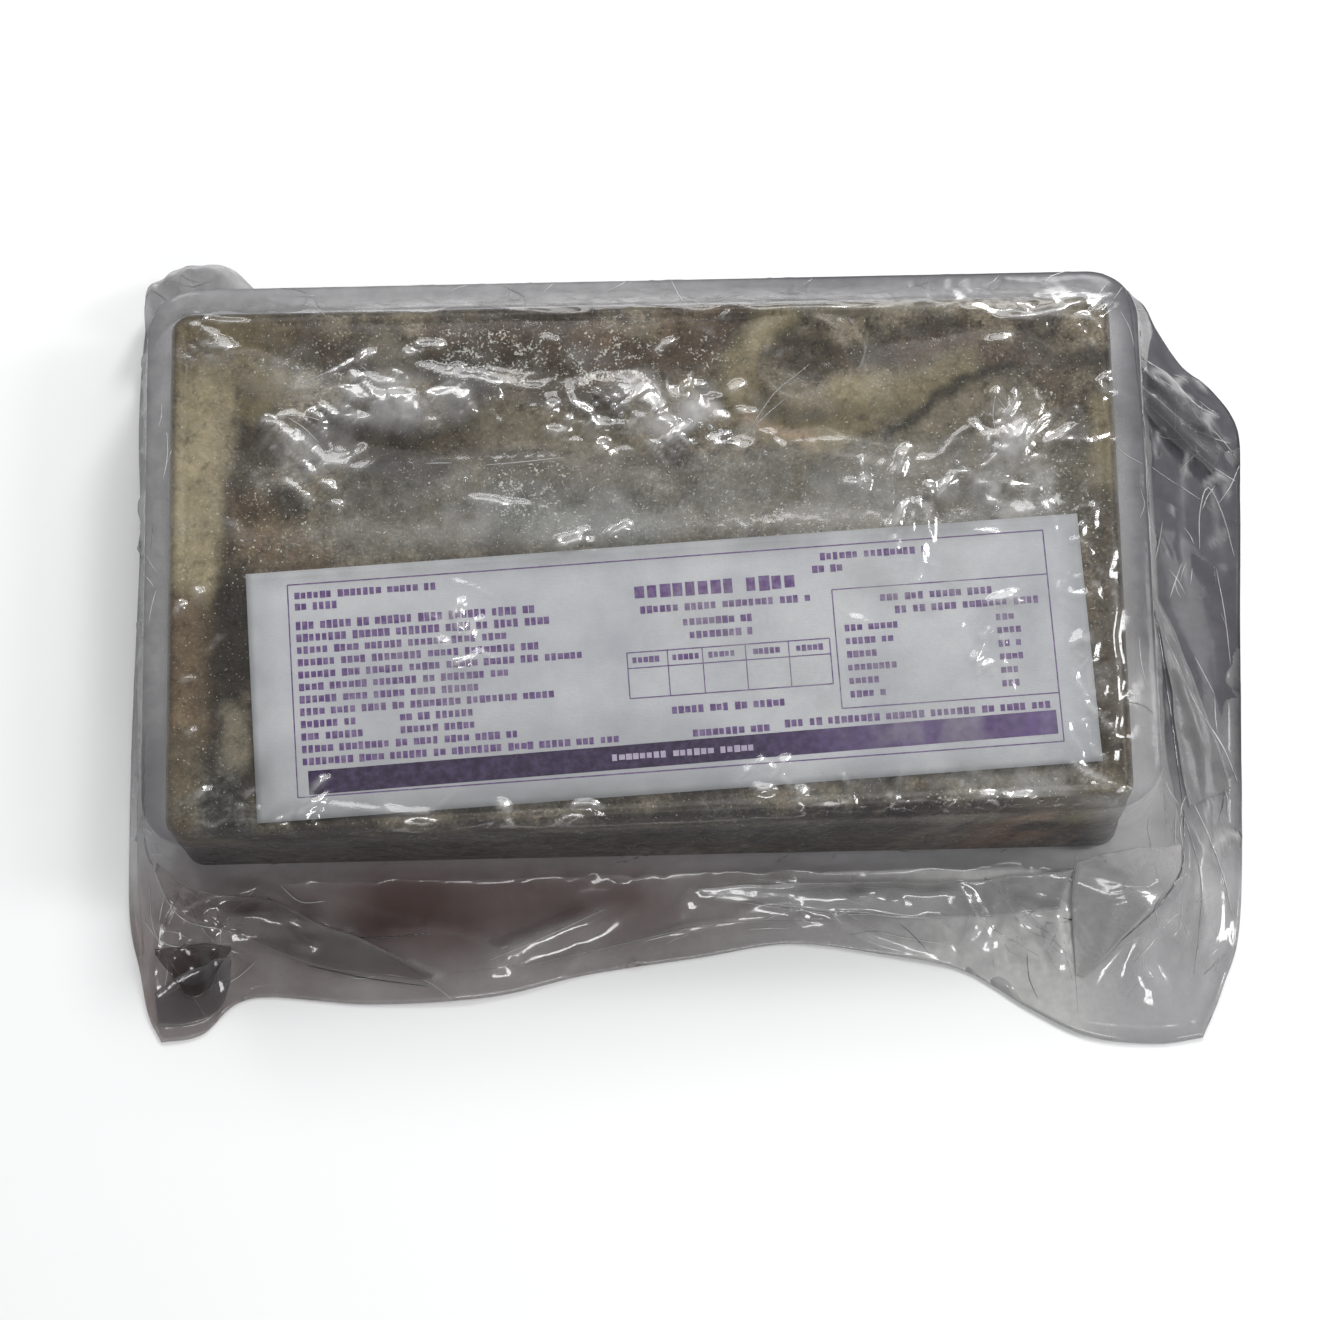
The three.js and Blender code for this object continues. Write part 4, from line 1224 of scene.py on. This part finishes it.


# Where the loose film is folded over and lies on itself: the two long edges of each flap,
# its share of milkiness, painted warm shadow and shade.
FLAPS = [
    ("bag_flap_left",
     [(-146, -84), (-136, -92), (-117, -94), (-104, -100), (-85, -108), (-66, -117.5)],
     [(-148, -86), (-143, -97), (-124, -105), (-104, -113), (-87, -117), (-67, -119)],
     0.2, 0.5, 0.0),
    ("bag_flap_corner",
     [(-149, -108.5), (-138, -107.5), (-127, -108)],
     [(-149, -110), (-139, -123), (-127, -109.5)],
     0.1, 0.8, 0.2),
    ("bag_flap_tip",
     [(-150, -122), (-140, -115), (-128, -111), (-127, -114)],
     [(-149, -131), (-140, -131), (-131, -127), (-127, -118)],
     0.12, 0.3, 0.35),
    ("bag_flap_right",
     [(126.5, -88), (126, -100), (126, -112), (126.5, -121)],
     [(159, -84), (156.5, -94), (146, -106), (128.5, -122)],
     0.42, 0.06, 0.0),
    ("bag_flap_front",
     [(14, -93.5), (52, -92.5), (90, -93), (126, -90)],
     [(15, -95), (54, -101), (92, -104), (122, -102)],
     0.24, 0.0, 0.0),
    ("bag_flap_edge",
     [(153, 0), (156, -16), (160, -42), (163, -72)],
     [(154, -1), (161, -18), (170, -42), (177, -66)],
     0.2, 0.0, 0.15),
    ("bag_flap_back",
     [(151, 76), (157, 62), (168, 54), (180, 40)],
     [(149.5, 75), (153, 56), (162, 44), (176, 32)],
     0.2, 0.0, 0.5),
]
FLAP_POINTS, FLAP_LIFT, FLAP_THICKNESS, FLAP_WANDER = (80, 18), 0.4, 0.15, 1.2

# Sharp folds in the loose film: line, width, milkiness and shade.
SHARP_FOLDS = [
    ([(143, 84), (145.5, 70), (146.3, 53), (148, 32), (149.5, 16), (153, -2), (156, -17), (158, -34),
      (160, -54), (161, -72), (160, -84), (158, -93), (148, -105), (127, -122)], 0.7, 0.5, 0.8),
    ([(155, -12), (161, -26), (167, -40), (175, -53), (179, -64)], 0.6, 0.85, 0.0),
    ([(162, -64), (169, -82), (173, -93), (175, -104)], 0.7, 0.85, 0.0),
    ([(160, -72), (164, -86), (165, -100), (162, -122)], 0.6, 0.7, 0.2),
    ([(171, 8), (172, 20), (175, 28), (179, 20), (182, 6)], 0.6, 0.85, 0.0),
    ([(176, 2), (178, -12), (179, -28)], 0.5, 0.8, 0.0),
    ([(148, 66), (158, 56), (170, 46), (183, 42)], 0.8, 0.85, 0.0),
    ([(150, 60), (162, 48), (174, 36), (184, 30)], 0.7, 0.8, 0.0),
    ([(152, 70), (162, 64), (172, 54), (180, 50)], 0.6, 0.8, 0.0),
    ([(149, 40), (160, 32), (176, 22)], 0.5, 0.6, 0.5),
    ([(126.7, -86), (126.4, -104), (126.7, -120), (127, -133)], 0.7, 0.85, 0.0),
    ([(100, -92), (110, -100), (122, -113), (126, -124)], 0.6, 0.85, 0.0),
    ([(104, -96), (112, -107), (121, -112)], 0.6, 0.85, 0.0),
    ([(70, -93), (82, -95), (94, -97), (102, -107), (118, -117)], 0.5, 0.85, 0.0),
    ([(18, -96), (40, -100), (60, -102), (88, -103)], 0.5, 0.7, 0.0),
    ([(30, -91), (60, -94), (92, -96)], 0.45, 0.8, 0.0),
    ([(54, -99), (70, -108), (92, -112)], 0.5, 0.8, 0.0),
    ([(-14, -99), (-30, -106), (-50, -114)], 0.5, 0.7, 0.0),
    ([(-60, -117), (-38, -115), (-12, -110), (20, -104), (60, -104)], 0.45, 0.6, 0.3),
    ([(-116, -93.5), (-104, -101), (-85, -109), (-69, -118)], 0.6, 0.5, 1.0),
    ([(-104, -114), (-87, -118), (-68, -121)], 0.5, 0.5, 1.0),
    ([(-94, -106), (-80, -106), (-66, -105)], 0.4, 0.4, 1.0),
    ([(-148.7, -84), (-144, -96), (-138, -101), (-124, -104)], 0.6, 0.8, 0.0),
    ([(-153, -100), (-146, -107), (-137, -108), (-127, -107)], 0.6, 0.8, 0.0),
    ([(-151, -88), (-150, -100), (-146, -112), (-148, -124)], 0.5, 0.7, 0.0),
    ([(-147, -109), (-139, -122), (-134, -130)], 0.6, 0.8, 0.0),
    ([(-128, -106), (-137, -116), (-147, -122)], 0.6, 0.75, 0.0),
    ([(-130, -96), (-130, -110), (-132, -124)], 0.5, 0.7, 0.2),
    ([(-141, -90), (-134, -104), (-122, -112)], 0.4, 0.6, 0.3),
    ([(-112, -90), (-106, -95), (-98, -95)], 0.5, 0.85, 0.0),
    # over the slab
    ([(-103, 53), (-91, 58), (-85, 61)], 0.4, 0.6, 0.0),
    ([(-83, 59), (-77, 55)], 0.4, 0.7, 0.0),
    ([(-64, 29), (-56, 29)], 0.4, 0.7, 0.0),
    ([(-47, 28), (-33, 29), (-23, 30)], 0.4, 0.7, 0.0),
    ([(30, 35), (34, 41), (39, 48), (45, 53), (50, 57)], 0.4, 0.35, 0.0),
    ([(32, 37), (37, 42), (43, 47)], 0.35, 0.3, 0.0),
    ([(103.5, 35), (103, 40), (104, 46)], 0.4, 0.6, 0.0),
    ([(104, 46), (106, 43), (109, 38)], 0.4, 0.6, 0.0),
    ([(-104, 44), (-98, 43.5), (-94, 42)], 0.4, 0.8, 0.0),
    ([(-104, 43.5), (-99, 40), (-95, 36)], 0.4, 0.8, 0.0),
]

# Fans of fine sharp folds: middle, reach along X and Y, usual direction in degrees, how many.
FINE_FOLDS = [
    ((168, 54), (12, 12), -40, 26), ((160, 20), (10, 40), 80, 10), ((176, -20), (5, 60), 85, 10),
    ((166, -100), (10, 30), 75, 16), ((110, -104), (16, 12), -45, 22),
    ((70, -99), (40, 7), -5, 22), ((140, -112), (14, 18), 60, 14), ((20, -104), (40, 6), 10, 5),
    ((-100, -108), (40, 10), -20, 4), ((-141, -108), (11, 16), 40, 10),
    ((-145, 94), (9, 6), 20, 8), ((-154, -20), (2, 70), 88, 8), ((-143, 0), (3, 76), 88, 9),
    ((0, 82), (130, 3), 2, 14), ((146, 0), (2, 70), 88, 9), ((140, 80), (8, 8), 40, 8),
]
SIDE_FOLDS = 100
PAST_FRONT = 0.31  # about the share of the border that runs along the front
FOLD_STEP = 1.2


def on_film(tree, x, y):
    """The place on the film at each point of the plan, its normal, and which points lie on it."""
    above = 0.1
    place = np.stack([x, y, np.full(np.shape(x), EDGE_TOP)], axis=-1)
    normal = np.zeros(place.shape)
    found = np.zeros(np.shape(x), bool)
    for k in np.ndindex(x.shape):
        start = to_row((x[k], y[k], 0.0)) + np.array([0, 0, above])
        hit, facing, _, _ = tree.ray_cast(Vector(start), Vector((0, 0, -1)))
        if hit is not None:
            place[k][2], normal[k], found[k] = hit.z * 1000, facing, True
    return place, normal, found


def make_flap(tree, name, first, second, milk, murk, shade):
    """A thin sheet between two edges, lying on the film and lifted a little along them."""
    long, wide = FLAP_POINTS
    first, second = (along_curve(smooth_line(e), np.linspace(0, 1, long)) for e in (first, second))
    across = np.linspace(0, 1, wide)[:, None, None]
    x, y = np.moveaxis(first * (1 - across) + second * across, -1, 0)
    x = x + FLAP_WANDER * (cloud(x, y, 9, 171) - 0.5)
    y = y + FLAP_WANDER * (cloud(x, y, 9, 173) - 0.5)
    rim_share = np.abs(2 * across[:, :, 0] - 1)
    z = on_film(tree, x, y)[0][:, :, 2] + FLAP_LIFT * (1 + rim_share**6)
    z = z + 0.4 * np.maximum(facets(x, y, 8, 175), 0)
    upper = np.column_stack([x.ravel(), y.ravel(), z.ravel()])
    points = np.concatenate([upper, upper - np.array([0, 0, FLAP_THICKNESS])])
    (step_x, step_y), (side_x, side_y) = first[1] - first[0], second[0] - first[0]
    clockwise = side_x * step_y > side_y * step_x
    faces = sheet_faces(np.arange(wide * long).reshape(wide, long).T, flip=clockwise)
    flap = make_mesh(name, points, faces)
    share = milk * (0.7 + 0.6 * clouds(x, y, 14, 177)) + 0.15 * rim_share**16
    gloss = 0.45 - 0.38 * ramp(x, 148, 156)
    set_numbers(flap, milk=np.tile(share.ravel(), 2), gloss=np.tile(gloss.ravel(), 2),
                murk=murk, shade=shade)
    return flap


class Ridges:
    """Low narrow ridges along lines on the film, each with its own milkiness and shade."""

    def __init__(self):
        self.points, self.faces, self.milks, self.shades = [], [], [], []

    def add(self, places, normals, width, milk, shade):
        count, start = len(places), len(self.milks)
        side = np.cross(normals, np.gradient(places, axis=0))
        side /= np.linalg.norm(side, axis=1)[:, None]
        half = width / 2 * (0.3 + 0.7 * np.sin(math.pi * np.linspace(0, 1, count)) ** 0.5)[:, None]
        sunk = places - 0.1 * normals
        rows = np.stack([sunk - side * half, places + normals * half, sunk + side * half], axis=1)
        self.points.append(rows.reshape(-1, 3))
        for k in range(start, start + 3 * (count - 1), 3):
            self.faces += [[k, k + 3, k + 4, k + 1], [k + 1, k + 4, k + 5, k + 2],
                           [k + 2, k + 5, k + 3, k]]
        last = start + 3 * (count - 1)
        self.faces += [[start, start + 1, start + 2], [last + 2, last + 1, last]]
        self.milks += [milk] * 3 * count
        self.shades += [shade] * 3 * count


def fine_folds(rng):
    """The folds of every fan, each a short line: the line, width, milkiness and shade."""
    for (cx, cy), (rx, ry), turn, count in FINE_FOLDS:
        for _ in range(count):
            x, y = cx + rx * rng.uniform(-1, 1), cy + ry * rng.uniform(-1, 1)
            angle = math.radians(turn + rng.normal(0, 26))
            step = rng.uniform(2.5, 8.0)
            line = [(x, y)]
            for _ in range(2):
                angle += rng.normal(0, 0.25)
                x, y = x + step * math.cos(angle), y + step * math.sin(angle)
                line.append((x, y))
            milk, shade = (0.4, 0.7) if rng.random() < 0.15 else (0.8, 0.0)
            yield line, rng.uniform(0.25, 0.5), milk, shade


def add_side_folds(ridges, film, rng):
    """Folds up the sides, from ring to ring of the film's own points. The front has none."""
    count = Outline(FILM_SPACING).count
    lowest = len(UNDER_RINGS) + SKIRT_STEPS
    for _ in range(SIDE_FOLDS):
        at, drift = rng.uniform(PAST_FRONT, 1.0) * count, rng.normal(0, 1.6)
        first = rng.integers(0, WALL_STEPS - 5)
        rows = np.arange(first, min(first + rng.integers(5, 12), WALL_STEPS))
        wobble = rng.normal(0, 0.25, len(rows))
        columns = (at + drift * (rows - first) + wobble).astype(int) % count
        chosen = [film.data.vertices[int(k)] for k in (lowest + rows) * count + columns]
        places = (np.array([v.co for v in chosen]) - ORIGIN) * 1000
        ridges.add(places, np.array([v.normal for v in chosen]), rng.uniform(0.3, 0.6), 0.45, 0.0)


def make_sharp_folds(tree, film):
    """Narrow folds on the loose film, and others up the sides of the bag."""
    rng = np.random.default_rng(19)
    ridges = Ridges()
    for line, width, milk, shade in SHARP_FOLDS + list(fine_folds(rng)):
        curve = smooth_line(line)
        length = np.hypot(*np.diff(curve, axis=0).T).sum()
        middle = along_curve(curve, np.linspace(0, 1, max(4, round(length / FOLD_STEP))))
        places, normals, found = on_film(tree, *middle.T)
        if found.all():
            ridges.add(places, normals, width, milk, shade)
    add_side_folds(ridges, film, rng)
    folds = make_mesh("bag_fold_lines", np.concatenate(ridges.points), ridges.faces)
    set_numbers(folds, milk=ridges.milks, shade=ridges.shades, gloss=1.2)
    return folds


# Air bubbles caught under the film: middle and radius.
BUBBLES = [
    (-13, 50, 1.6), (-10, 47.5, 1.2), (-13.5, 46, 1.0), (-8, 45, 1.5), (-6, 42.5, 1.1),
    (11, 40.5, 1.2), (14, 40, 1.3), (17, 39, 1.3), (20, 38.2, 1.2), (23, 37, 1.1), (26, 36, 1.0),
    (-52, 24, 1.0), (36, 30, 0.9), (92, 26, 1.1), (103, 12, 1.2),
]


def make_bubbles():
    """Each bubble lifts the film in a small low dome."""
    turns, rows, sunk, flatness = 20, 5, 0.35, 0.75
    points, faces = [], []
    for x, y, radius in BUBBLES:
        base = film_over_slab(np.array([x]), np.array([y]))[0][0] - sunk
        start = len(points)
        for k in range(rows):
            lean = math.pi / 2 * k / rows
            for j in range(turns):
                turn, away = 2 * math.pi * j / turns, radius * math.cos(lean)
                points.append((x + away * math.cos(turn), y + away * math.sin(turn),
                               base + flatness * radius * math.sin(lean)))
        points.append((x, y, base + flatness * radius))
        for k in range(rows - 1):
            faces += ring_faces(start + k * turns, start + (k + 1) * turns, turns)
        last = start + (rows - 1) * turns
        faces += [[last + j, last + (j + 1) % turns, len(points) - 1] for j in range(turns)]
        faces.append([start + j for j in range(turns)][::-1])
    bubbles = make_mesh("air_bubbles", points, faces)
    set_numbers(bubbles, milk=0.06, gloss=1.6)
    return bubbles


# ---------------------------------------------------------------- materials


class Nodes:
    """A short way to write a node tree."""

    def __init__(self, name):
        self.material = bpy.data.materials.new(name)
        self.material.use_nodes = True
        self.tree = self.material.node_tree
        self.tree.nodes.clear()
        self.shader = self.add("ShaderNodeBsdfPrincipled")
        self.output = self.add("ShaderNodeOutputMaterial")
        self.feed(self.output.inputs[0], self.shader.outputs[0])
        self.place = self.add("ShaderNodeNewGeometry").outputs["Position"]

    def add(self, kind, inputs=(), **settings):
        """A node with its settings, and with numbers, colours or links in the named inputs."""
        node = self.tree.nodes.new(kind)
        for key, value in settings.items():
            setattr(node, key, value)
        for key, value in dict(inputs).items():
            self.feed(node.inputs[key], value)
        return node

    def feed(self, socket, value):
        """Links an output, or sets a number or a colour of three shares."""
        if isinstance(value, bpy.types.NodeSocket):
            self.tree.links.new(value, socket)
        elif socket.type == "RGBA":
            socket.default_value = (*[float(share) for share in value], 1.0)
        else:
            socket.default_value = value

    def noise(self, scale, detail=3.0, roughness=0.55, stretch=None):
        place = self.place
        if stretch:
            mapping = self.add("ShaderNodeMapping", {"Scale": stretch, "Vector": place})
            place = mapping.outputs["Vector"]
        inputs = {"Scale": scale, "Detail": detail, "Roughness": roughness, "Vector": place}
        return self.add("ShaderNodeTexNoise", inputs).outputs["Fac"]

    def number(self, name):
        return self.add("ShaderNodeAttribute", attribute_name=name).outputs["Fac"]

    def math(self, operation, a, b=0.0, clamp=False):
        return self.add("ShaderNodeMath", {0: a, 1: b}, operation=operation,
                        use_clamp=clamp).outputs[0]

    def times(self, a, b):
        return self.math("MULTIPLY", a, b)

    def plus(self, a, b, clamp=False):
        return self.math("ADD", a, b, clamp)

    def span(self, value, low, high, to_low=0.0, to_high=1.0):
        inputs = enumerate((value, low, high, to_low, to_high))
        return self.add("ShaderNodeMapRange", inputs).outputs[0]

    def mix(self, share, a, b, blend="MIX"):
        node = self.add("ShaderNodeMix", data_type="RGBA", blend_type=blend)
        for name, value in (("Factor", share), ("A", a), ("B", b)):
            self.feed(node.inputs[name], value)
        return node.outputs["Result"]

    def bump(self, height, distance, strength=1.0, before=None):
        inputs = {"Strength": strength, "Distance": distance, "Height": height}
        if before:
            inputs["Normal"] = before
        return self.add("ShaderNodeBump", inputs).outputs["Normal"]

    def layer(self, share, below, above):
        """One shader over another."""
        return self.add("ShaderNodeMixShader", {0: share, 1: below, 2: above}).outputs[0]

    def set(self, **values):
        names = {
            "base": "Base Color", "rough": "Roughness", "normal": "Normal", "alpha": "Alpha",
            "coat": "Coat Weight", "coat_rough": "Coat Roughness", "ior": "IOR",
            "specular": "Specular IOR Level",
        }
        for key, value in values.items():
            self.feed(self.shader.inputs[names[key]], value)


def slab_material():
    """Skin and flesh under ice: mottled, with white frost crystals scattered in drifts."""
    n = Nodes("frozen_octopus")
    frost, rugged, grit = n.number("frost"), n.number("rugged"), n.number("grit")
    tone = n.add("ShaderNodeAttribute", attribute_name="tone").outputs["Color"]
    dark = n.mix(1.0, tone, (0.33, 0.31, 0.29), "MULTIPLY")
    light = n.mix(1.0, tone, (1.9, 1.92, 1.95), "MULTIPLY")
    coarse, fine = n.noise(300, 4, 0.68), n.noise(900, 3, 0.7)
    darker = n.times(n.span(coarse, 0.52, 0.34), rugged)
    lighter = n.times(n.span(fine, 0.5, 0.7), rugged)
    skin = n.mix(lighter, n.mix(darker, tone, dark), light)
    milky = n.mix(n.times(frost, n.span(fine, 0.35, 0.65, 0.1, 1.0)), skin, srgb(150, 152, 146))
    clump = n.span(n.noise(330, 2, 0.6), 0.35, 0.7)
    chance = n.times(n.plus(grit, 0.12), clump)
    specks = n.span(n.plus(n.noise(1250, 2, 0.75), n.times(chance, 0.22)), 0.68, 0.75)
    base = n.mix(n.times(specks, 0.85), milky, srgb(214, 213, 202))
    lumps = n.bump(n.noise(190, 1), 0.0012, 0.5)
    grains = n.bump(n.noise(1000, 0), 0.0003, 0.4, lumps)
    n.set(base=base, rough=n.span(coarse, 0.3, 0.7, 0.35, 0.55), normal=grains,
          coat=0.15, coat_rough=0.2, ior=1.31)
    return n.material


def paper_material():
    """White paper with damp patches, darker where it is soaked."""
    n = Nodes("label_paper")
    fibres = n.noise(900, 2, 0.6, (1.0, 2.2, 1.0))
    damp = n.span(n.noise(34, 4, 0.6), 0.35, 0.68)
    base = n.mix(damp, srgb(212, 213, 214), srgb(178, 181, 187))
    base = n.mix(n.span(fibres, 0.4, 0.7, 0.0, 0.2), base, srgb(170, 173, 180))
    base = n.mix(n.number("soaked"), base, srgb(136, 138, 138))
    rough = n.span(fibres, 0.3, 0.7, 0.55, 0.8)
    n.set(base=base, rough=rough, normal=n.bump(fibres, 0.00015, 0.4))
    return n.material


def ink_material(name, ink, faded, worn_from=None):
    """Print that is worn in spots, and more and more to the right of a place in metres."""
    n = Nodes(name)
    worn = n.span(n.noise(420, 2, 0.6), 0.38, 0.72, 0.0, 0.55)
    if worn_from is not None:
        across = n.add("ShaderNodeSeparateXYZ", {0: n.place}).outputs["X"]
        along = n.span(across, worn_from, worn_from + 0.06, 0.0, 0.75)
        streaks = n.span(n.noise(60, 2, 0.6, (1.0, 0.2, 1.0)), 0.3, 0.6, 0.55, 1.0)
        worn = n.plus(n.times(worn, 0.6), n.times(along, streaks))
    n.set(base=n.mix(worn, ink, faded), rough=0.7, specular=0.2)
    return n.material


def film_material():
    """Clear polythene: see-through, a little milky where it is loose, mirror-like where it
    catches a light."""
    n = Nodes("clear_film")
    names = ("milk", "gloss", "graze", "murk", "shade")
    milk, gloss, graze, murk, shade = (n.number(name) for name in names)
    grazing = n.add("ShaderNodeLayerWeight", {"Blend": 0.5}).outputs["Facing"]
    blotched = n.times(milk, n.span(n.noise(210, 2, 0.6), 0.3, 0.7, 0.86, 1.14))
    slanted = n.times(n.math("POWER", grazing, 1.5), n.plus(graze, 0.06))
    # Painted shadow: the warm shadow share darkens and warms the milky colour and what shows
    # through.
    milky_and_shadowed = n.mix(murk, srgb(184, 183, 182), srgb(80, 62, 58))
    n.set(base=n.mix(shade, milky_and_shadowed, srgb(70, 68, 73)), rough=0.5)
    through = n.mix(murk, (0.93, 0.93, 0.935), (0.58, 0.5, 0.485))
    through = n.mix(shade, through, (0.49, 0.485, 0.525))
    clear = n.add("ShaderNodeBsdfTransparent", {"Color": through}).outputs[0]
    body = n.layer(n.plus(blotched, slanted, clamp=True), clear, n.shader.outputs[0])

    tiny = n.bump(n.noise(230, 1), 0.0004, 0.3)
    mirror = n.add("ShaderNodeBsdfGlossy", {"Roughness": 0.12, "Normal": tiny}).outputs[0]
    steep = n.times(n.math("POWER", grazing, 5.0), 0.3)
    skin = n.layer(n.times(n.plus(steep, 0.085), gloss), body, mirror)
    n.feed(n.output.inputs[0], skin)
    return n.material


def floor_material():
    """Pale and even, fading out into the pale room a good way off."""
    n = Nodes("pale_floor")
    away = n.add("ShaderNodeVectorMath", {0: n.place}, operation="LENGTH").outputs["Value"]
    n.set(base=n.mix(n.noise(3, 2), srgb(236, 236, 236), srgb(240, 240, 240)), rough=0.7,
          alpha=n.span(away, 0.8, 1.7, 1.0, 0.0))
    return n.material


# ---------------------------------------------------------------- stage, light and camera

FOCAL_PIXELS, FRAME_PIXELS, SENSOR = 2580.0, 1320.0, 36.0
CAMERA_PLACE = (3.81, -160.45, 782.3)
CAMERA_TILT, CAMERA_ROLL = math.radians(10.0), math.radians(-1.19)


def make_camera():
    data = bpy.data.cameras.new("camera")
    data.sensor_width = SENSOR
    data.lens = FOCAL_PIXELS / FRAME_PIXELS * SENSOR
    camera = bpy.data.objects.new("camera", data)
    turn = Matrix.Rotation(CAMERA_TILT, 4, "X") @ Matrix.Rotation(CAMERA_ROLL, 4, "Z")
    camera.matrix_world = Matrix.Translation(Vector(to_row(CAMERA_PLACE))) @ turn
    bpy.context.scene.collection.objects.link(camera)
    bpy.context.scene.camera = camera


# Soft boxes: name, place, size and brightness of its face. Places and sizes are in metres.
# None stands where level film would mirror it into the camera, so only tilted film flashes.
LIGHTS = [
    ("high_box", (0.05, 0.58, 0.95), (0.44, 0.12), 5.0),
    ("back_box", (0.0, 1.1, 0.95), (1.3, 0.5), 3.6),
    ("key_box", (0.36, 0.82, 0.95), (0.22, 0.22), 34.0),
    ("back_left_box", (-0.5, 0.95, 0.7), (0.2, 0.2), 16.0),
    ("right_box", (0.85, 0.12, 0.85), (0.25, 0.4), 15.0),
    ("front_box", (0.1, -0.85, 0.8), (0.5, 0.16), 12.0),
]
LIT_PLACE = Vector((0, 0, 0.03))
FLOOR_HALF = 3.0  # metres


def make_light(name, place, size, brightness):
    """A soft box that faces the slab."""
    data = bpy.data.lights.new(name, "AREA")
    data.shape = "RECTANGLE"
    data.size, data.size_y = size
    data.energy = brightness * math.pi * size[0] * size[1]
    light = bpy.data.objects.new(name, data)
    light.location = place
    light.rotation_euler = (LIT_PLACE - Vector(place)).to_track_quat("-Z", "Y").to_euler()
    bpy.context.scene.collection.objects.link(light)


def make_world():
    """A pale room, dimmer straight overhead than near the walls."""
    world = bpy.data.worlds.new("world")
    world.use_nodes = True
    nodes, links = world.node_tree.nodes, world.node_tree.links
    place = nodes.new("ShaderNodeTexCoord")
    split = nodes.new("ShaderNodeSeparateXYZ")
    span = nodes.new("ShaderNodeMapRange")
    low_from, high_from, at_walls, overhead = 0.25, 0.95, 0.75, 0.16
    for socket, given in zip(span.inputs[1:5], (low_from, high_from, at_walls, overhead)):
        socket.default_value = given
    links.new(place.outputs["Generated"], split.inputs[0])
    links.new(split.outputs["Z"], span.inputs["Value"])
    links.new(span.outputs[0], nodes["Background"].inputs["Strength"])
    nodes["Background"].inputs["Color"].default_value = (0.97, 0.985, 1.0, 1.0)
    bpy.context.scene.world = world


def make_stage():
    """The floor, the room, the lights and how the picture is made from them."""
    far = FLOOR_HALF
    corners = [(-far, -far, 0), (far, -far, 0), (far, far, 0), (-far, far, 0)]
    mesh = bpy.data.meshes.new("floor")
    mesh.from_pydata(corners, [], [(0, 1, 2, 3)])
    mesh.materials.append(floor_material())
    floor = bpy.data.objects.new("floor", mesh)
    scene = bpy.context.scene
    scene.collection.objects.link(floor)
    make_world()
    scene.view_settings.view_transform = "Standard"
    scene.cycles.max_bounces = 5
    scene.cycles.diffuse_bounces = 2
    scene.cycles.glossy_bounces = 2
    for light in LIGHTS:
        make_light(*light)


# ---------------------------------------------------------------- put together

make_camera()
make_stage()

make_slab().data.materials.append(slab_material())
make_label().data.materials.append(paper_material())

purple = ink_material("purple_ink", srgb(30, 4, 48), srgb(104, 84, 130), worn_from=0.01)
grey_purple = ink_material("text_ink", srgb(90, 62, 112), srgb(150, 134, 166))
pale_ink = ink_material("pale_ink", srgb(178, 168, 186), srgb(150, 136, 162))
inks = {
    "label_rules": grey_purple, "label_text_bars": grey_purple, "label_title_bars": grey_purple,
    "label_band": purple, "label_band_bars": pale_ink,
}
for piece in make_print():
    piece.data.materials.append(inks[piece.name])

clear_film = film_material()
film = make_film()
tree = BVHTree.FromPolygons(
    [v.co for v in film.data.vertices], [f.vertices for f in film.data.polygons]
)
flaps = [make_flap(tree, *flap) for flap in FLAPS]
for piece in (film, make_bubbles(), make_sharp_folds(tree, film), *flaps):
    piece.data.materials.append(clear_film)
